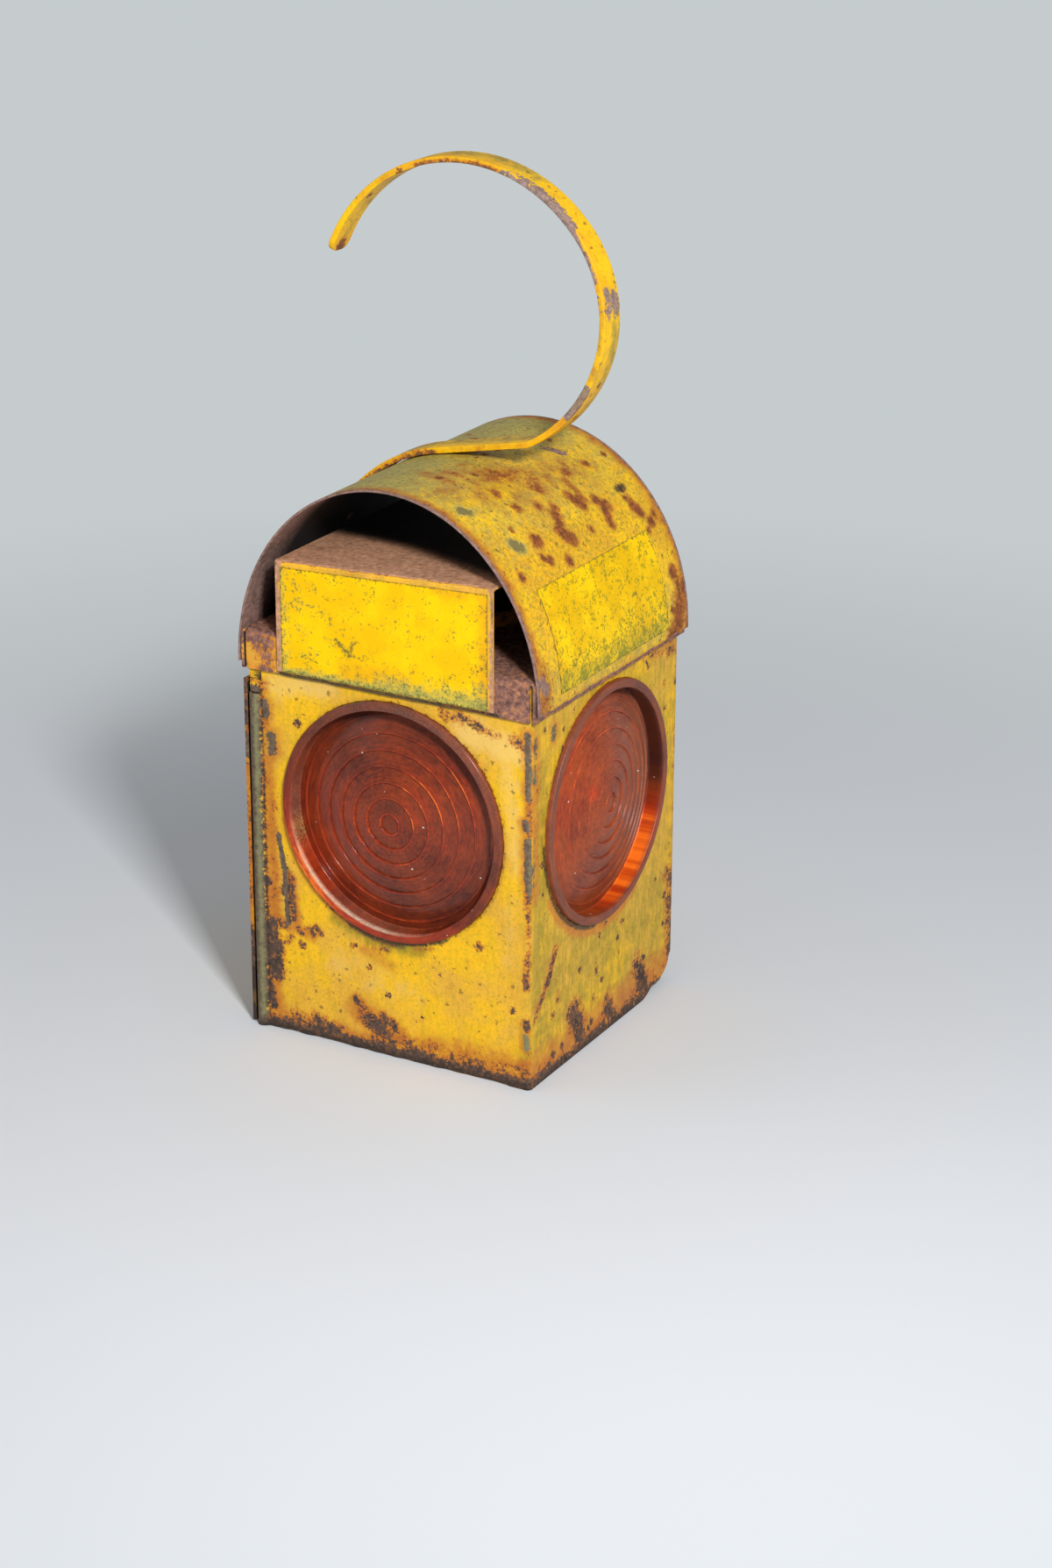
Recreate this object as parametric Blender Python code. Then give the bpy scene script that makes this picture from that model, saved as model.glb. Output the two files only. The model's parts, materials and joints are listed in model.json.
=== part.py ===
"""Railway lantern: a folded sheet oil lamp with two stepped ring lenses, an arched hood and a hook handle.

Units are metres and +Z is up. The front lens faces -Y, the second lens faces +X and the door
is on the -X side. The origin is the centre of the base's underside.
"""
import math

import bmesh
import bpy
from mathutils import Vector

MM = 0.001

# Clearances
GAP = 0.3 * MM
KNUCKLE_GAP = 0.4 * MM

# Shared shop values: the square fold, small strips' inside bend and how far a cutter reaches past its work
SQUARE = 90.0
STRIP_BEND = 1.2 * MM
CUT_PAST = 3.0 * MM

# Degrees or faces that a bend or a turning is drawn with
FOLD_STEP = 30.0
COARSE_FOLD_STEP = 45.0
STRAP_STEP = 7.0
FLANK_STEP = 6.0
WIRE_SEGMENTS = 10
BORE_SEGMENTS = 12
BURNER_SEGMENTS = 22
FONT_SEGMENTS = 28
CHIMNEY_SEGMENTS = 32

# Body walls, one sheet folded round the front, right and back
BODY_WIDTH = 156.0 * MM
BODY_DEPTH = 150.0 * MM
BODY_HEIGHT = 208.3 * MM
WALL_SHEET = 1.2 * MM
WALL_FOLD = 1.9 * MM
BACK_LIP = 8.0 * MM
SIDE_BITES = ((35.0, -1.0), (27.0, 1.6), (22.0, 4.4), (14.0, 4.1),
              (9.0, 6.8), (5.4, 9.6), (3.2, 15.0), (-3.0, 19.0))
BACK_BITES = ((19.0, -1.0), (14.0, 2.2), (9.0, 3.4), (5.0, 8.0), (-3.0, 10.0))
BITE_DEPTH = 6.0 * MM

# Wired edge at the front wall's free side
WIRE_RADIUS = 1.4 * MM
BEAD_DROP = 32.3 * MM
BEAD_INSET = 3.5 * MM
BEAD_TAIL = 3.9 * MM
BEAD_CURL = 268.0
BEAD_STEPS = 14
TONGUE_HEIGHT = 7.1 * MM
TONGUE_ROOT = 3.6 * MM
TONGUE_WIDTH = 6.4 * MM

# Base pan
PAN_SHEET = 1.2 * MM
PAN_FLANGE = 10.0 * MM
PAN_FOLD = 1.6 * MM

# Lid pan and its chimney hole
LID_SHEET = 1.2 * MM
LID_FLANGE = 20.0 * MM
LID_FOLD = 1.9 * MM
LID_SIDE_EASE = 1.4 * MM
CORNER_SLIT = 1.7 * MM
CHIMNEY_RADIUS = 30.0 * MM
CHIMNEY_COLLAR = 8.0 * MM

# Arched hood
HOOD_SHEET = 1.3 * MM
HOOD_INSET = 0.3 * MM
HOOD_HEADROOM = 39.4 * MM
HOOD_SKIRT = 1.5 * MM
HOOD_LIFT = 3.2 * MM
HOOD_STEPS = 40

# Draught baffle under the hood, with its real sideways lean
BAFFLE_SHEET = 1.2 * MM
BAFFLE_INSET = 21.35 * MM
BAFFLE_RISE = 40.1 * MM
BAFFLE_LEAN = 4.8 * MM
BAFFLE_LAP = 17.7 * MM
BAFFLE_FOLD = 1.4 * MM

# Handle strap: its flank end, then a straight, a crease and three bends to the tip
STRAP_WIDTH = 15.4 * MM
STRAP_THICK = 3.0 * MM
STRAP_TIP = 5.0 * MM
STRAP_END_ANGLE = 80.0
STRAP_LEAVE_SLOPE = 11.0
STRAP_RUN = 51.0 * MM
STRAP_BENDS = ((10.0 * MM, 17.3), (73.1 * MM, 43.1), (63.1 * MM, 58.2), (78.0 * MM, 119.6))
STRAP_END_SHARES = (0.0, 0.15, 0.45)
STRAP_RIVET_ANGLES = (55.0, 70.0)

# Stepped ring lenses
LENS_MARGIN = 14.0 * MM
LENS_HEADROOM = 3.5 * MM
LENS_FRONT_X = 2.5 * MM
LENS_RIM = 4.6 * MM
LENS_PROUD = 2.5 * MM
LENS_RECESS = 9.0 * MM
LENS_DISC = 3.0 * MM
LENS_ROUND = 0.8 * MM
LENS_FLANGE = 3.5 * MM
LENS_FLANGE_THICK = 2.7 * MM
RING_COUNT = 7
RING_MARGIN = 4.6 * MM
RING_STEP = 1.4 * MM
EYE_RADIUS = 5.0 * MM
LENS_SEGMENTS = 40

# Lens retaining rings, pressed in a Z section
RETAINER_SHEET = 1.0 * MM
RETAINER_FOOT = 5.0 * MM
RETAINER_LIP = 4.3 * MM

# Door with a hemmed edge
DOOR_SHEET = 1.0 * MM
DOOR_HEM = 6.0 * MM
DOOR_STAND = 0.7 * MM
DOOR_LIFT = 1.0 * MM
DOOR_HEAD_SLOT = 5.8 * MM
DOOR_BACK_EASE = 1.0 * MM

# Hinges at the back left corner
LEAF_SHEET = 1.0 * MM
LEAF_WIDTH = 18.0 * MM
HINGE_LENGTH = 36.0 * MM
HINGE_FOOT_INSET = 39.0 * MM
HINGE_HEAD_INSET = 37.5 * MM
PIN_RADIUS = 1.2 * MM
KNUCKLE_CURL = 300.0
LEAF_RIVET_SPREAD = 20.0 * MM
LEAF_RIVET_REACH = 9.0 * MM

# Door catch, a spring tongue behind the wired edge
CATCH_SHEET = 0.8 * MM
CATCH_WIDTH = 16.0 * MM
CATCH_FOOT = 13.0 * MM
CATCH_REACH = 8.5 * MM
CATCH_NIB = 2.2 * MM

# Rivets
RIVET_RADIUS = 1.2 * MM
RIVET_HEAD = 2.6 * MM
RIVET_DOME = 1.4 * MM
RIVET_TAIL = 2.0 * MM
RIVET_TAIL_THICK = 0.8 * MM
RIVET_SEGMENTS = 8

# Font, the oil tank, and the strips that locate it
FONT_RADIUS = 50.0 * MM
FONT_SIDE = 52.0 * MM
FONT_SHOULDER = 8.0 * MM
FONT_SHEET = 0.9 * MM
FONT_SEAM = 2.0 * MM
COLLAR_RADIUS = 17.0 * MM
COLLAR_HEIGHT = 5.0 * MM
GUIDE_SHEET = 1.0 * MM
GUIDE_HEIGHT = 12.0 * MM
GUIDE_FOOT = 7.0 * MM
GUIDE_LENGTH = 80.0 * MM
STOP_LENGTH = 30.0 * MM

# Burner
BURNER_SHEET = 1.0 * MM
BURNER_SKIRT = 8.0 * MM
BURNER_FLANGE = 19.5 * MM
DRUM_RADIUS = 13.8 * MM
DRUM_HEIGHT = 15.0 * MM
DRUM_FLOOR = 2.5 * MM
GALLERY_RADIUS = 24.0 * MM
CONE_RADIUS = 21.0 * MM
CONE_HEIGHT = 20.0 * MM
CONE_SHEET = 0.8 * MM
CONE_SLOT_LENGTH = 22.0 * MM
CONE_SLOT_WIDTH = 6.0 * MM
CONE_SHARES = ((1.0, 0.0), (0.97, 0.36), (0.8, 0.7), (0.52, 0.93), (0.0, 1.0))

# Wick, its tube and the winder
WICK_WIDTH = 16.0 * MM
WICK_THICK = 2.0 * MM
WICK_EASE = 0.4 * MM
WICK_TAIL = 10.0 * MM
WICK_SHOWS = 2.0 * MM
TUBE_SHEET = 0.6 * MM
TUBE_ABOVE_GALLERY = 12.0 * MM
TUBE_BELOW_FLANGE = 11.0 * MM
WINDER_RADIUS = 4.0 * MM
WINDER_TOOTH = 1.1 * MM
WINDER_TEETH = 12
WINDER_THICK = 1.6 * MM
WINDER_SPREAD = 8.0 * MM
SPINDLE_RADIUS = 1.2 * MM
SPINDLE_LENGTH = 65.7 * MM
SPINDLE_ABOVE_FLANGE = 9.5 * MM
SPINDLE_STUB = 0.5 * MM
TOOTH_SHARE = 0.5
KNOB_RADIUS = 9.0 * MM
KNOB_THICK = 4.6 * MM
KNOB_FLUTE = 0.7 * MM
KNOB_FLUTES = 18

# Worked out places that several pieces share
HALF_WIDTH = BODY_WIDTH / 2
HALF_DEPTH = BODY_DEPTH / 2
WALL_TOP = BODY_HEIGHT - LID_SHEET / 2 - LID_FOLD
BEAD_HEIGHT = BODY_HEIGHT - BEAD_DROP
LID_BOTTOM = BODY_HEIGHT - LID_FLANGE
LID_HALF_X = HALF_WIDTH + LID_SIDE_EASE + LID_SHEET
LID_HALF_Y = HALF_DEPTH + GAP + LID_SHEET
HOOD_BOTTOM = LID_BOTTOM + HOOD_LIFT
HOOD_SPRING = HOOD_BOTTOM + HOOD_SKIRT
HOOD_LENGTH = 2 * (LID_HALF_Y - HOOD_INSET)
BAFFLE_TOP = BODY_HEIGHT + BAFFLE_RISE
BAFFLE_WIDTH = 2 * (LID_HALF_X - BAFFLE_INSET)
HOOD_CREST = BAFFLE_TOP + HOOD_HEADROOM - HOOD_SPRING - HOOD_SHEET / 2
HOOD_LEAN = math.sqrt(1 - ((WALL_TOP - HOOD_SPRING) / HOOD_CREST) ** 2)
HOOD_HALF = (LID_HALF_X + GAP + HOOD_SHEET / 2) / HOOD_LEAN
FRONT_MID = -(HALF_DEPTH - WALL_SHEET / 2)
RIGHT_MID = HALF_WIDTH - WALL_SHEET / 2
LENS_RADIUS = min(BODY_WIDTH, BODY_DEPTH) / 2 - LENS_MARGIN
LENS_HEIGHT = LID_BOTTOM - LENS_HEADROOM - LENS_RADIUS
LENS_INNER = LENS_RADIUS - LENS_RIM
RING_PITCH = (LENS_INNER - RING_MARGIN - EYE_RADIUS) / (RING_COUNT - 1)
BEAD_RADIUS = WIRE_RADIUS + GAP + WALL_SHEET / 2
BEAD_CENTRE = Vector((-(HALF_WIDTH - BEAD_INSET), FRONT_MID))
DOOR_INNER = -(HALF_WIDTH + DOOR_STAND)
DOOR_OUTER = DOOR_INNER - 2 * DOOR_SHEET
DOOR_BACK = HALF_DEPTH - DOOR_BACK_EASE
DOOR_TOP = LID_BOTTOM - DOOR_HEAD_SLOT
HINGE_HEIGHTS = (DOOR_LIFT + HINGE_FOOT_INSET, DOOR_TOP - HINGE_HEAD_INSET)
CATCH_HEIGHT = (DOOR_LIFT + DOOR_TOP) / 2
KNUCKLE_RADIUS = PIN_RADIUS + GAP + LEAF_SHEET / 2
DOOR_LEAF_MID = DOOR_OUTER - GAP - LEAF_SHEET / 2
BODY_LEAF_MID = HALF_DEPTH + GAP + LEAF_SHEET / 2
HINGE_AXIS = Vector((DOOR_LEAF_MID - KNUCKLE_RADIUS, BODY_LEAF_MID + KNUCKLE_RADIUS, 0.0))
FONT_FLOOR = PAN_SHEET + GAP
FONT_TOP = FONT_FLOOR + FONT_SIDE + FONT_SHOULDER
COLLAR_TOP = FONT_TOP + COLLAR_HEIGHT
FLANGE_LOW = COLLAR_TOP + GAP
FLANGE_TOP = FLANGE_LOW + BURNER_SHEET
GALLERY_LOW = FLANGE_TOP + DRUM_HEIGHT
GALLERY_TOP = GALLERY_LOW + BURNER_SHEET
TUBE_TOP = GALLERY_TOP + TUBE_ABOVE_GALLERY
SPINDLE_Z = FLANGE_TOP + SPINDLE_ABOVE_FLANGE
SPINDLE_Y = -(WICK_THICK / 2 + GAP + WINDER_RADIUS)
DRUM_SIDE_X = math.sqrt(DRUM_RADIUS ** 2 - SPINDLE_Y ** 2)
SPINDLE_RIGHT = DRUM_SIDE_X + SPINDLE_STUB
SPINDLE_LEFT = SPINDLE_RIGHT - SPINDLE_LENGTH

# Finishes: sRGB colour, roughness and metallic of each material
FINISHES = {
    "yellow_paint": ((0.93, 0.72, 0.16), 0.5, 0.0),
    "rusty_paint": ((0.62, 0.48, 0.20), 0.7, 0.0),
    "rusty_steel": ((0.40, 0.28, 0.22), 0.8, 0.3),
    "bare_steel": ((0.45, 0.42, 0.40), 0.5, 0.9),
    "red_lens": ((0.48, 0.16, 0.10), 0.25, 0.0),
    "tinplate": ((0.55, 0.54, 0.52), 0.4, 0.9),
    "brass": ((0.66, 0.52, 0.26), 0.4, 0.9),
    "cotton": ((0.78, 0.74, 0.66), 0.9, 0.0),
}


def clear_scene():
    """Remove whatever the scene holds."""
    for thing in list(bpy.data.objects):
        bpy.data.objects.remove(thing, do_unlink=True)


def finish_material(name):
    """Return the Principled material called name, made once."""
    found = bpy.data.materials.get(name)
    if found:
        return found
    colour, roughness, metallic = FINISHES[name]
    material = bpy.data.materials.new(name)
    material.use_nodes = True
    shader = material.node_tree.nodes["Principled BSDF"]
    linear = [channel ** 2.2 for channel in colour]
    shader.inputs["Base Color"].default_value = (*linear, 1.0)
    shader.inputs["Roughness"].default_value = roughness
    shader.inputs["Metallic"].default_value = metallic
    material.diffuse_color = (*linear, 1.0)
    return material


def make_object(name, mesh, material=None, smooth_angle=35.0):
    """Turn a bmesh into a named object; without a material it is a tool shape, hidden from the build."""
    bmesh.ops.recalc_face_normals(mesh, faces=mesh.faces)
    data = bpy.data.meshes.new(name)
    mesh.to_mesh(data)
    mesh.free()
    data.shade_smooth()
    data.set_sharp_from_angle(angle=math.radians(smooth_angle))
    thing = bpy.data.objects.new(name, data)
    bpy.context.collection.objects.link(thing)
    if material:
        data.materials.append(finish_material(material))
    else:
        thing.hide_render = True
        thing.display_type = "WIRE"
    return thing


def combine(thing, tool, operation):
    """Join a tool shape to a piece, or cut it out, with a live Boolean."""
    modifier = thing.modifiers.new(f"{operation.lower()}_{tool.name}", "BOOLEAN")
    modifier.operation = operation
    modifier.solver = "EXACT"
    modifier.object = tool
    return thing


def cut(thing, *tools):
    """Cut each tool shape out of the piece."""
    for tool in tools:
        combine(thing, tool, "DIFFERENCE")
    return thing


def join(thing, *tools):
    """Unite each tool shape with the piece."""
    for tool in tools:
        combine(thing, tool, "UNION")
    return thing


def thicken(thing, thickness):
    """Give a folded mid-surface its sheet thickness, half to each side."""
    modifier = thing.modifiers.new("sheet", "SOLIDIFY")
    modifier.thickness = thickness
    modifier.offset = 0.0
    modifier.use_even_offset = True
    modifier.use_quality_normals = True
    return thing


def trace(start, heading, moves, step=15.0):
    """Follow a bent strip: numbers are straight runs and (radius, turn) pairs bends, left turns positive."""
    points = [Vector(start)]
    angle = math.radians(heading)
    for move in moves:
        here = points[-1]
        if isinstance(move, tuple):
            radius, turn = move
            side = 1.0 if turn > 0 else -1.0
            normal = Vector((-math.sin(angle), math.cos(angle))) * side
            centre = here + normal * radius
            count = max(1, math.ceil(abs(turn) / step - 1e-6))
            for index in range(1, count + 1):
                swung = angle + math.radians(turn) * index / count
                points.append(centre + Vector((math.sin(swung), -math.cos(swung))) * radius * side)
            angle += math.radians(turn)
        else:
            points.append(here + Vector((math.cos(angle), math.sin(angle))) * move)
    return points


def plan(point, level):
    """Place a section drawn in plan (X, Y) at the height level."""
    return (point[0], point[1], level)


def front_view(point, level):
    """Place a section drawn from the front (X, Z) at the depth level."""
    return (point[0], level, point[1])


def side_view(point, level):
    """Place a section drawn from the side (Y, Z) at the width level."""
    return (level, point[0], point[1])


def fold(name, path, rows, view, thickness, material, keep=None, extra=None):
    """Make a folded sheet: its section path swept through the rows, with the cells that keep allows."""
    mesh = bmesh.new()
    grid = [[mesh.verts.new(view(point, row)) for row in rows] for point in path]
    for column in range(len(path) - 1):
        for row in range(len(rows) - 1):
            if keep is None or keep(column, row):
                corner = (grid[column][row], grid[column + 1][row])
                mesh.faces.new((*corner, grid[column + 1][row + 1], grid[column][row + 1]))
    if extra:
        extra(mesh, grid)
    loose = [vert for vert in mesh.verts if not vert.link_faces]
    bmesh.ops.delete(mesh, geom=loose, context="VERTS")
    return thicken(make_object(name, mesh, material), thickness)


def turned(name, section, segments, material=None, ring=False):
    """Spin a half-section of (radius, height) points about local Z; a ring's section closes on itself."""
    mesh = bmesh.new()
    verts = [mesh.verts.new((radius, 0.0, height)) for radius, height in section]
    edges = [mesh.edges.new(pair) for pair in zip(verts, verts[1:])]
    if ring:
        edges.append(mesh.edges.new((verts[-1], verts[0])))
    bmesh.ops.spin(mesh, geom=verts + edges, cent=(0, 0, 0), axis=(0, 0, 1),
                   angle=math.tau, steps=segments, use_duplicate=False)
    bmesh.ops.remove_doubles(mesh, verts=mesh.verts, dist=1e-6)
    return make_object(name, mesh, material)


def rod(radius, length):
    """Return a plain rod's half-section, from the origin up."""
    return [(0, 0), (radius, 0), (radius, length), (0, length)]


def prism(name, outline, low, high, view, material=None):
    """Extrude a closed outline from low to high."""
    mesh = bmesh.new()
    face = mesh.faces.new([mesh.verts.new(view(point, low)) for point in outline])
    grown = bmesh.ops.extrude_face_region(mesh, geom=[face])
    shift = Vector(view((0.0, 0.0), high)) - Vector(view((0.0, 0.0), low))
    top = [item for item in grown["geom"] if isinstance(item, bmesh.types.BMVert)]
    bmesh.ops.translate(mesh, verts=top, vec=shift)
    return make_object(name, mesh, material)


def block(name, low, high, material=None):
    """Make a box from its lowest to its highest corner."""
    outline = [(low[0], low[1]), (high[0], low[1]), (high[0], high[1]), (low[0], high[1])]
    return prism(name, outline, low[2], high[2], plan, material)


def star(teeth, outer, inner):
    """Return a toothed outline: flat tips at the outer radius and flat roots at the inner radius."""
    points = []
    pitch = math.tau / teeth
    for tooth in range(teeth):
        for radius, offset in ((inner, -0.5), (outer, -TOOTH_SHARE / 2), (outer, TOOTH_SHARE / 2)):
            angle = (tooth + offset) * pitch
            points.append((radius * math.cos(angle), radius * math.sin(angle)))
    return points


def aim(thing, place, direction):
    """Put a turned piece at place with its local +Z along direction."""
    thing.location = place
    thing.rotation_euler = Vector(direction).to_track_quat("Z", "Y").to_euler()
    return thing


def hang_on(empty, *things):
    """Parent moving pieces to the empty on their joint's axis, without moving them."""
    for thing in things:
        thing.parent = empty
        thing.location = thing.location - empty.location


def axis_empty(name, place):
    """Make the empty that marks a joint's axis."""
    empty = bpy.data.objects.new(name, None)
    empty.location = place
    bpy.context.collection.objects.link(empty)
    return empty


def body_shell():
    """Fold the front, right and back walls, with the wired edge, the lens holes and the rusted corner."""
    curl_start = math.degrees(math.acos(BEAD_RADIUS / BEAD_TAIL))
    root = BEAD_CENTRE + Vector((BEAD_TAIL, 0.0))
    curl = []
    for index in range(BEAD_STEPS + 1):
        angle = -math.radians(curl_start + BEAD_CURL * (1 - index / BEAD_STEPS))
        curl.append(BEAD_CENTRE + Vector((math.cos(angle), math.sin(angle))) * BEAD_RADIUS)
    front_run = RIGHT_MID - WALL_FOLD - root.x
    side_run = 2 * abs(FRONT_MID) - 2 * WALL_FOLD
    back_run = 2 * RIGHT_MID - 2 * WALL_FOLD
    corner = (WALL_FOLD, SQUARE)
    walls = trace(root, 0.0, [front_run, corner, side_run, corner, back_run, corner, BACK_LIP], FOLD_STEP)
    saw_cut = BEAD_HEIGHT + KNUCKLE_GAP
    rows = [0.0, BEAD_HEIGHT, saw_cut, saw_cut + TONGUE_ROOT, WALL_TOP]
    root_column = len(curl)

    def tongue(mesh, grid):
        """Add the flattened stub of sheet above the wired edge, rounded towards the wall."""
        base = grid[root_column]
        left = root.x - TONGUE_WIDTH
        top = saw_cut + TONGUE_HEIGHT
        rounding = TONGUE_HEIGHT - TONGUE_ROOT
        outline = [(left, saw_cut), (left, top)]
        for step in range(3):
            angle = math.radians(SQUARE - step * FOLD_STEP)
            outline.append((root.x - rounding + rounding * math.cos(angle),
                            top - rounding + rounding * math.sin(angle)))
        verts = [mesh.verts.new((x, FRONT_MID, z)) for x, z in outline]
        mesh.faces.new([base[2], *verts, base[3]])

    shell = fold("body_shell", curl + walls, rows, plan, WALL_SHEET, "yellow_paint",
                 keep=lambda column, row: column >= root_column or row == 0, extra=tongue)
    for name, place, facing in lens_places():
        cut(shell, aim(drill(f"cut_{name}", LENS_RADIUS + GAP, WALL_SHEET, LENS_SEGMENTS), place, facing))
    return cut(shell, *rusted_corner())


def rusted_corner():
    """Return the shapes that rust has eaten out of the bottom right back corner."""
    side = [(HALF_DEPTH - inset * MM, height * MM) for inset, height in SIDE_BITES]
    side.append((HALF_DEPTH + CUT_PAST, -CUT_PAST))
    back = [(HALF_WIDTH - inset * MM, height * MM) for inset, height in BACK_BITES]
    back.append((HALF_WIDTH + CUT_PAST, -CUT_PAST))
    return (prism("cut_rust_side", side, HALF_WIDTH - BITE_DEPTH, HALF_WIDTH + CUT_PAST, side_view),
            prism("cut_rust_back", back, HALF_DEPTH - BITE_DEPTH, HALF_DEPTH + CUT_PAST, front_view))


def edge_wire():
    """Make the wire that the front wall's free edge is rolled round."""
    section = [(0, GAP), (WIRE_RADIUS, GAP), (WIRE_RADIUS, BEAD_HEIGHT - GAP), (0, BEAD_HEIGHT - GAP)]
    wire = turned("edge_wire", section, WIRE_SEGMENTS, "bare_steel")
    wire.location = (BEAD_CENTRE.x, BEAD_CENTRE.y, 0.0)
    return wire


def pan(name, half_x, half_y, face, flange, sheet, radius, turn, material):
    """Fold a shallow pan with open corner slits; turn is 1 with the flanges up and -1 with them down."""
    level = face + turn * sheet / 2
    plate_x = half_x - sheet / 2 - radius
    plate_y = half_y - sheet / 2 - radius
    drop = flange - sheet / 2 - radius
    short = half_x - sheet - CORNER_SLIT
    side = trace((short, 0.0), 0.0, [plate_x - short, (radius, SQUARE), drop], FOLD_STEP)
    section = [Vector((-x, z)) for x, z in reversed(side)] + side
    section = [Vector((x, level + turn * z)) for x, z in section]
    rows = [-half_y + GAP, -plate_y, plate_y, half_y - GAP]
    last = len(section) - 2
    flange_cells = len(side) - 2

    def keep(column, row):
        """Keep the side flanges over the full depth and the plate between the other two."""
        return row == 1 or column < flange_cells or column > last - flange_cells

    def ends(mesh, grid):
        """Fold the front and back flanges from the plate's other two edges."""
        left = grid[len(side) - 1]
        right = grid[len(side)]
        profile = trace((plate_y, 0.0), 0.0, [(radius, SQUARE), drop], FOLD_STEP)[1:]
        for row, sign in ((1, -1.0), (2, 1.0)):
            pair = (left[row], right[row])
            for y, z in profile:
                fresh = [mesh.verts.new((vert.co.x, sign * y, level + turn * z)) for vert in pair]
                mesh.faces.new((pair[0], pair[1], fresh[1], fresh[0]))
                pair = tuple(fresh)

    return fold(name, section, rows, front_view, sheet, material, keep, ends)


def base_pan():
    """Make the bottom, a pan whose flanges stand inside the walls, notched round the wired edge."""
    half_x = HALF_WIDTH - WALL_SHEET - GAP
    half_y = HALF_DEPTH - WALL_SHEET - GAP
    bottom = pan("base_pan", half_x, half_y, 0.0, PAN_FLANGE, PAN_SHEET, PAN_FOLD, 1, "rusty_steel")
    clear = BEAD_RADIUS + WALL_SHEET / 2 + 2 * GAP
    notch = BEAD_CENTRE + Vector((max(clear, BEAD_TAIL), clear))
    low = (-2 * HALF_WIDTH, -2 * HALF_DEPTH, -PAN_FLANGE)
    notch_tool = block("cut_bead_notch", low, (notch.x, notch.y, 2 * PAN_FLANGE))
    return cut(bottom, notch_tool, bpy.data.objects["cut_rust_side"], bpy.data.objects["cut_rust_back"])


def lid_pan():
    """Make the lid, a pan turned down over the walls, with a collared chimney hole."""
    lid = pan("lid_pan", LID_HALF_X, LID_HALF_Y, BODY_HEIGHT, LID_FLANGE, LID_SHEET, LID_FOLD, -1,
              "rusty_paint")
    inner = CHIMNEY_RADIUS - LID_SHEET
    outer = CHIMNEY_RADIUS + LID_SHEET
    low = BODY_HEIGHT - LID_SHEET / 2
    high = BODY_HEIGHT + CHIMNEY_COLLAR
    section = [(inner, low), (outer, low), (outer, high), (inner, high)]
    join(lid, turned("add_collar", section, CHIMNEY_SEGMENTS, ring=True))
    hole = drill("cut_chimney", CHIMNEY_RADIUS, LID_SHEET + CHIMNEY_COLLAR, CHIMNEY_SEGMENTS)
    return cut(lid, aim(hole, (0, 0, high), (0, 0, 1)))


def arch_point(degrees, offset=0.0):
    """Return a point of the hood's arch and its outward normal, by the angle from the crest to the left."""
    angle = math.radians(degrees)
    point = Vector((-HOOD_HALF * math.sin(angle), HOOD_SPRING + HOOD_CREST * math.cos(angle)))
    normal = Vector((-math.sin(angle) / HOOD_HALF, math.cos(angle) / HOOD_CREST)).normalized()
    return point + normal * offset, normal


def hood():
    """Bend the hood: an elliptical arch with short straight skirts outside the lid's side flanges."""
    arch = [arch_point(SQUARE - 2 * SQUARE * index / HOOD_STEPS)[0] for index in range(HOOD_STEPS + 1)]
    path = [Vector((-HOOD_HALF, HOOD_BOTTOM))] + arch + [Vector((HOOD_HALF, HOOD_BOTTOM))]
    rows = [-HOOD_LENGTH / 2, HOOD_LENGTH / 2]
    cover = fold("hood", path, rows, front_view, HOOD_SHEET, "yellow_paint")
    return cut(cover, *[strap_rivet_hole(index) for index in range(len(STRAP_RIVET_ANGLES))])


def draught_baffle():
    """Fold the baffle, an inverted channel that laps over the lid's front and back flanges and leans."""
    depth = LID_HALF_Y + GAP + BAFFLE_SHEET / 2
    low = BODY_HEIGHT - BAFFLE_LAP
    top = BAFFLE_TOP - BAFFLE_SHEET / 2
    moves = [top - low - BAFFLE_FOLD, (BAFFLE_FOLD, -SQUARE), 2 * (depth - BAFFLE_FOLD),
             (BAFFLE_FOLD, -SQUARE), top - low - BAFFLE_FOLD]
    path = trace((-depth, low), SQUARE, moves, COARSE_FOLD_STEP)

    def leaning(point, level):
        """Lift the upper part of the section towards the right."""
        lift = BAFFLE_LEAN * level / BAFFLE_WIDTH if point[1] > BODY_HEIGHT else 0.0
        return (level, point[0], point[1] + lift)

    rows = [-BAFFLE_WIDTH / 2, BAFFLE_WIDTH / 2]
    return fold("draught_baffle", path, rows, leaning, BAFFLE_SHEET, "yellow_paint")


def strap_path():
    """Return the strap's middle line: down the hood's left flank, over the crest and round the hook."""
    offset = HOOD_SHEET / 2 + GAP + STRAP_THICK / 2
    slope = math.tan(math.radians(STRAP_LEAVE_SLOPE))
    leave = math.degrees(math.atan(slope * HOOD_HALF / HOOD_CREST))
    count = round((STRAP_END_ANGLE - leave) / FLANK_STEP)
    flank = [arch_point(STRAP_END_ANGLE + (leave - STRAP_END_ANGLE) * index / count, offset)[0]
             for index in range(count + 1)]
    return flank + trace(flank[-1], STRAP_LEAVE_SLOPE, [STRAP_RUN, *STRAP_BENDS], STRAP_STEP)[1:]


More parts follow.
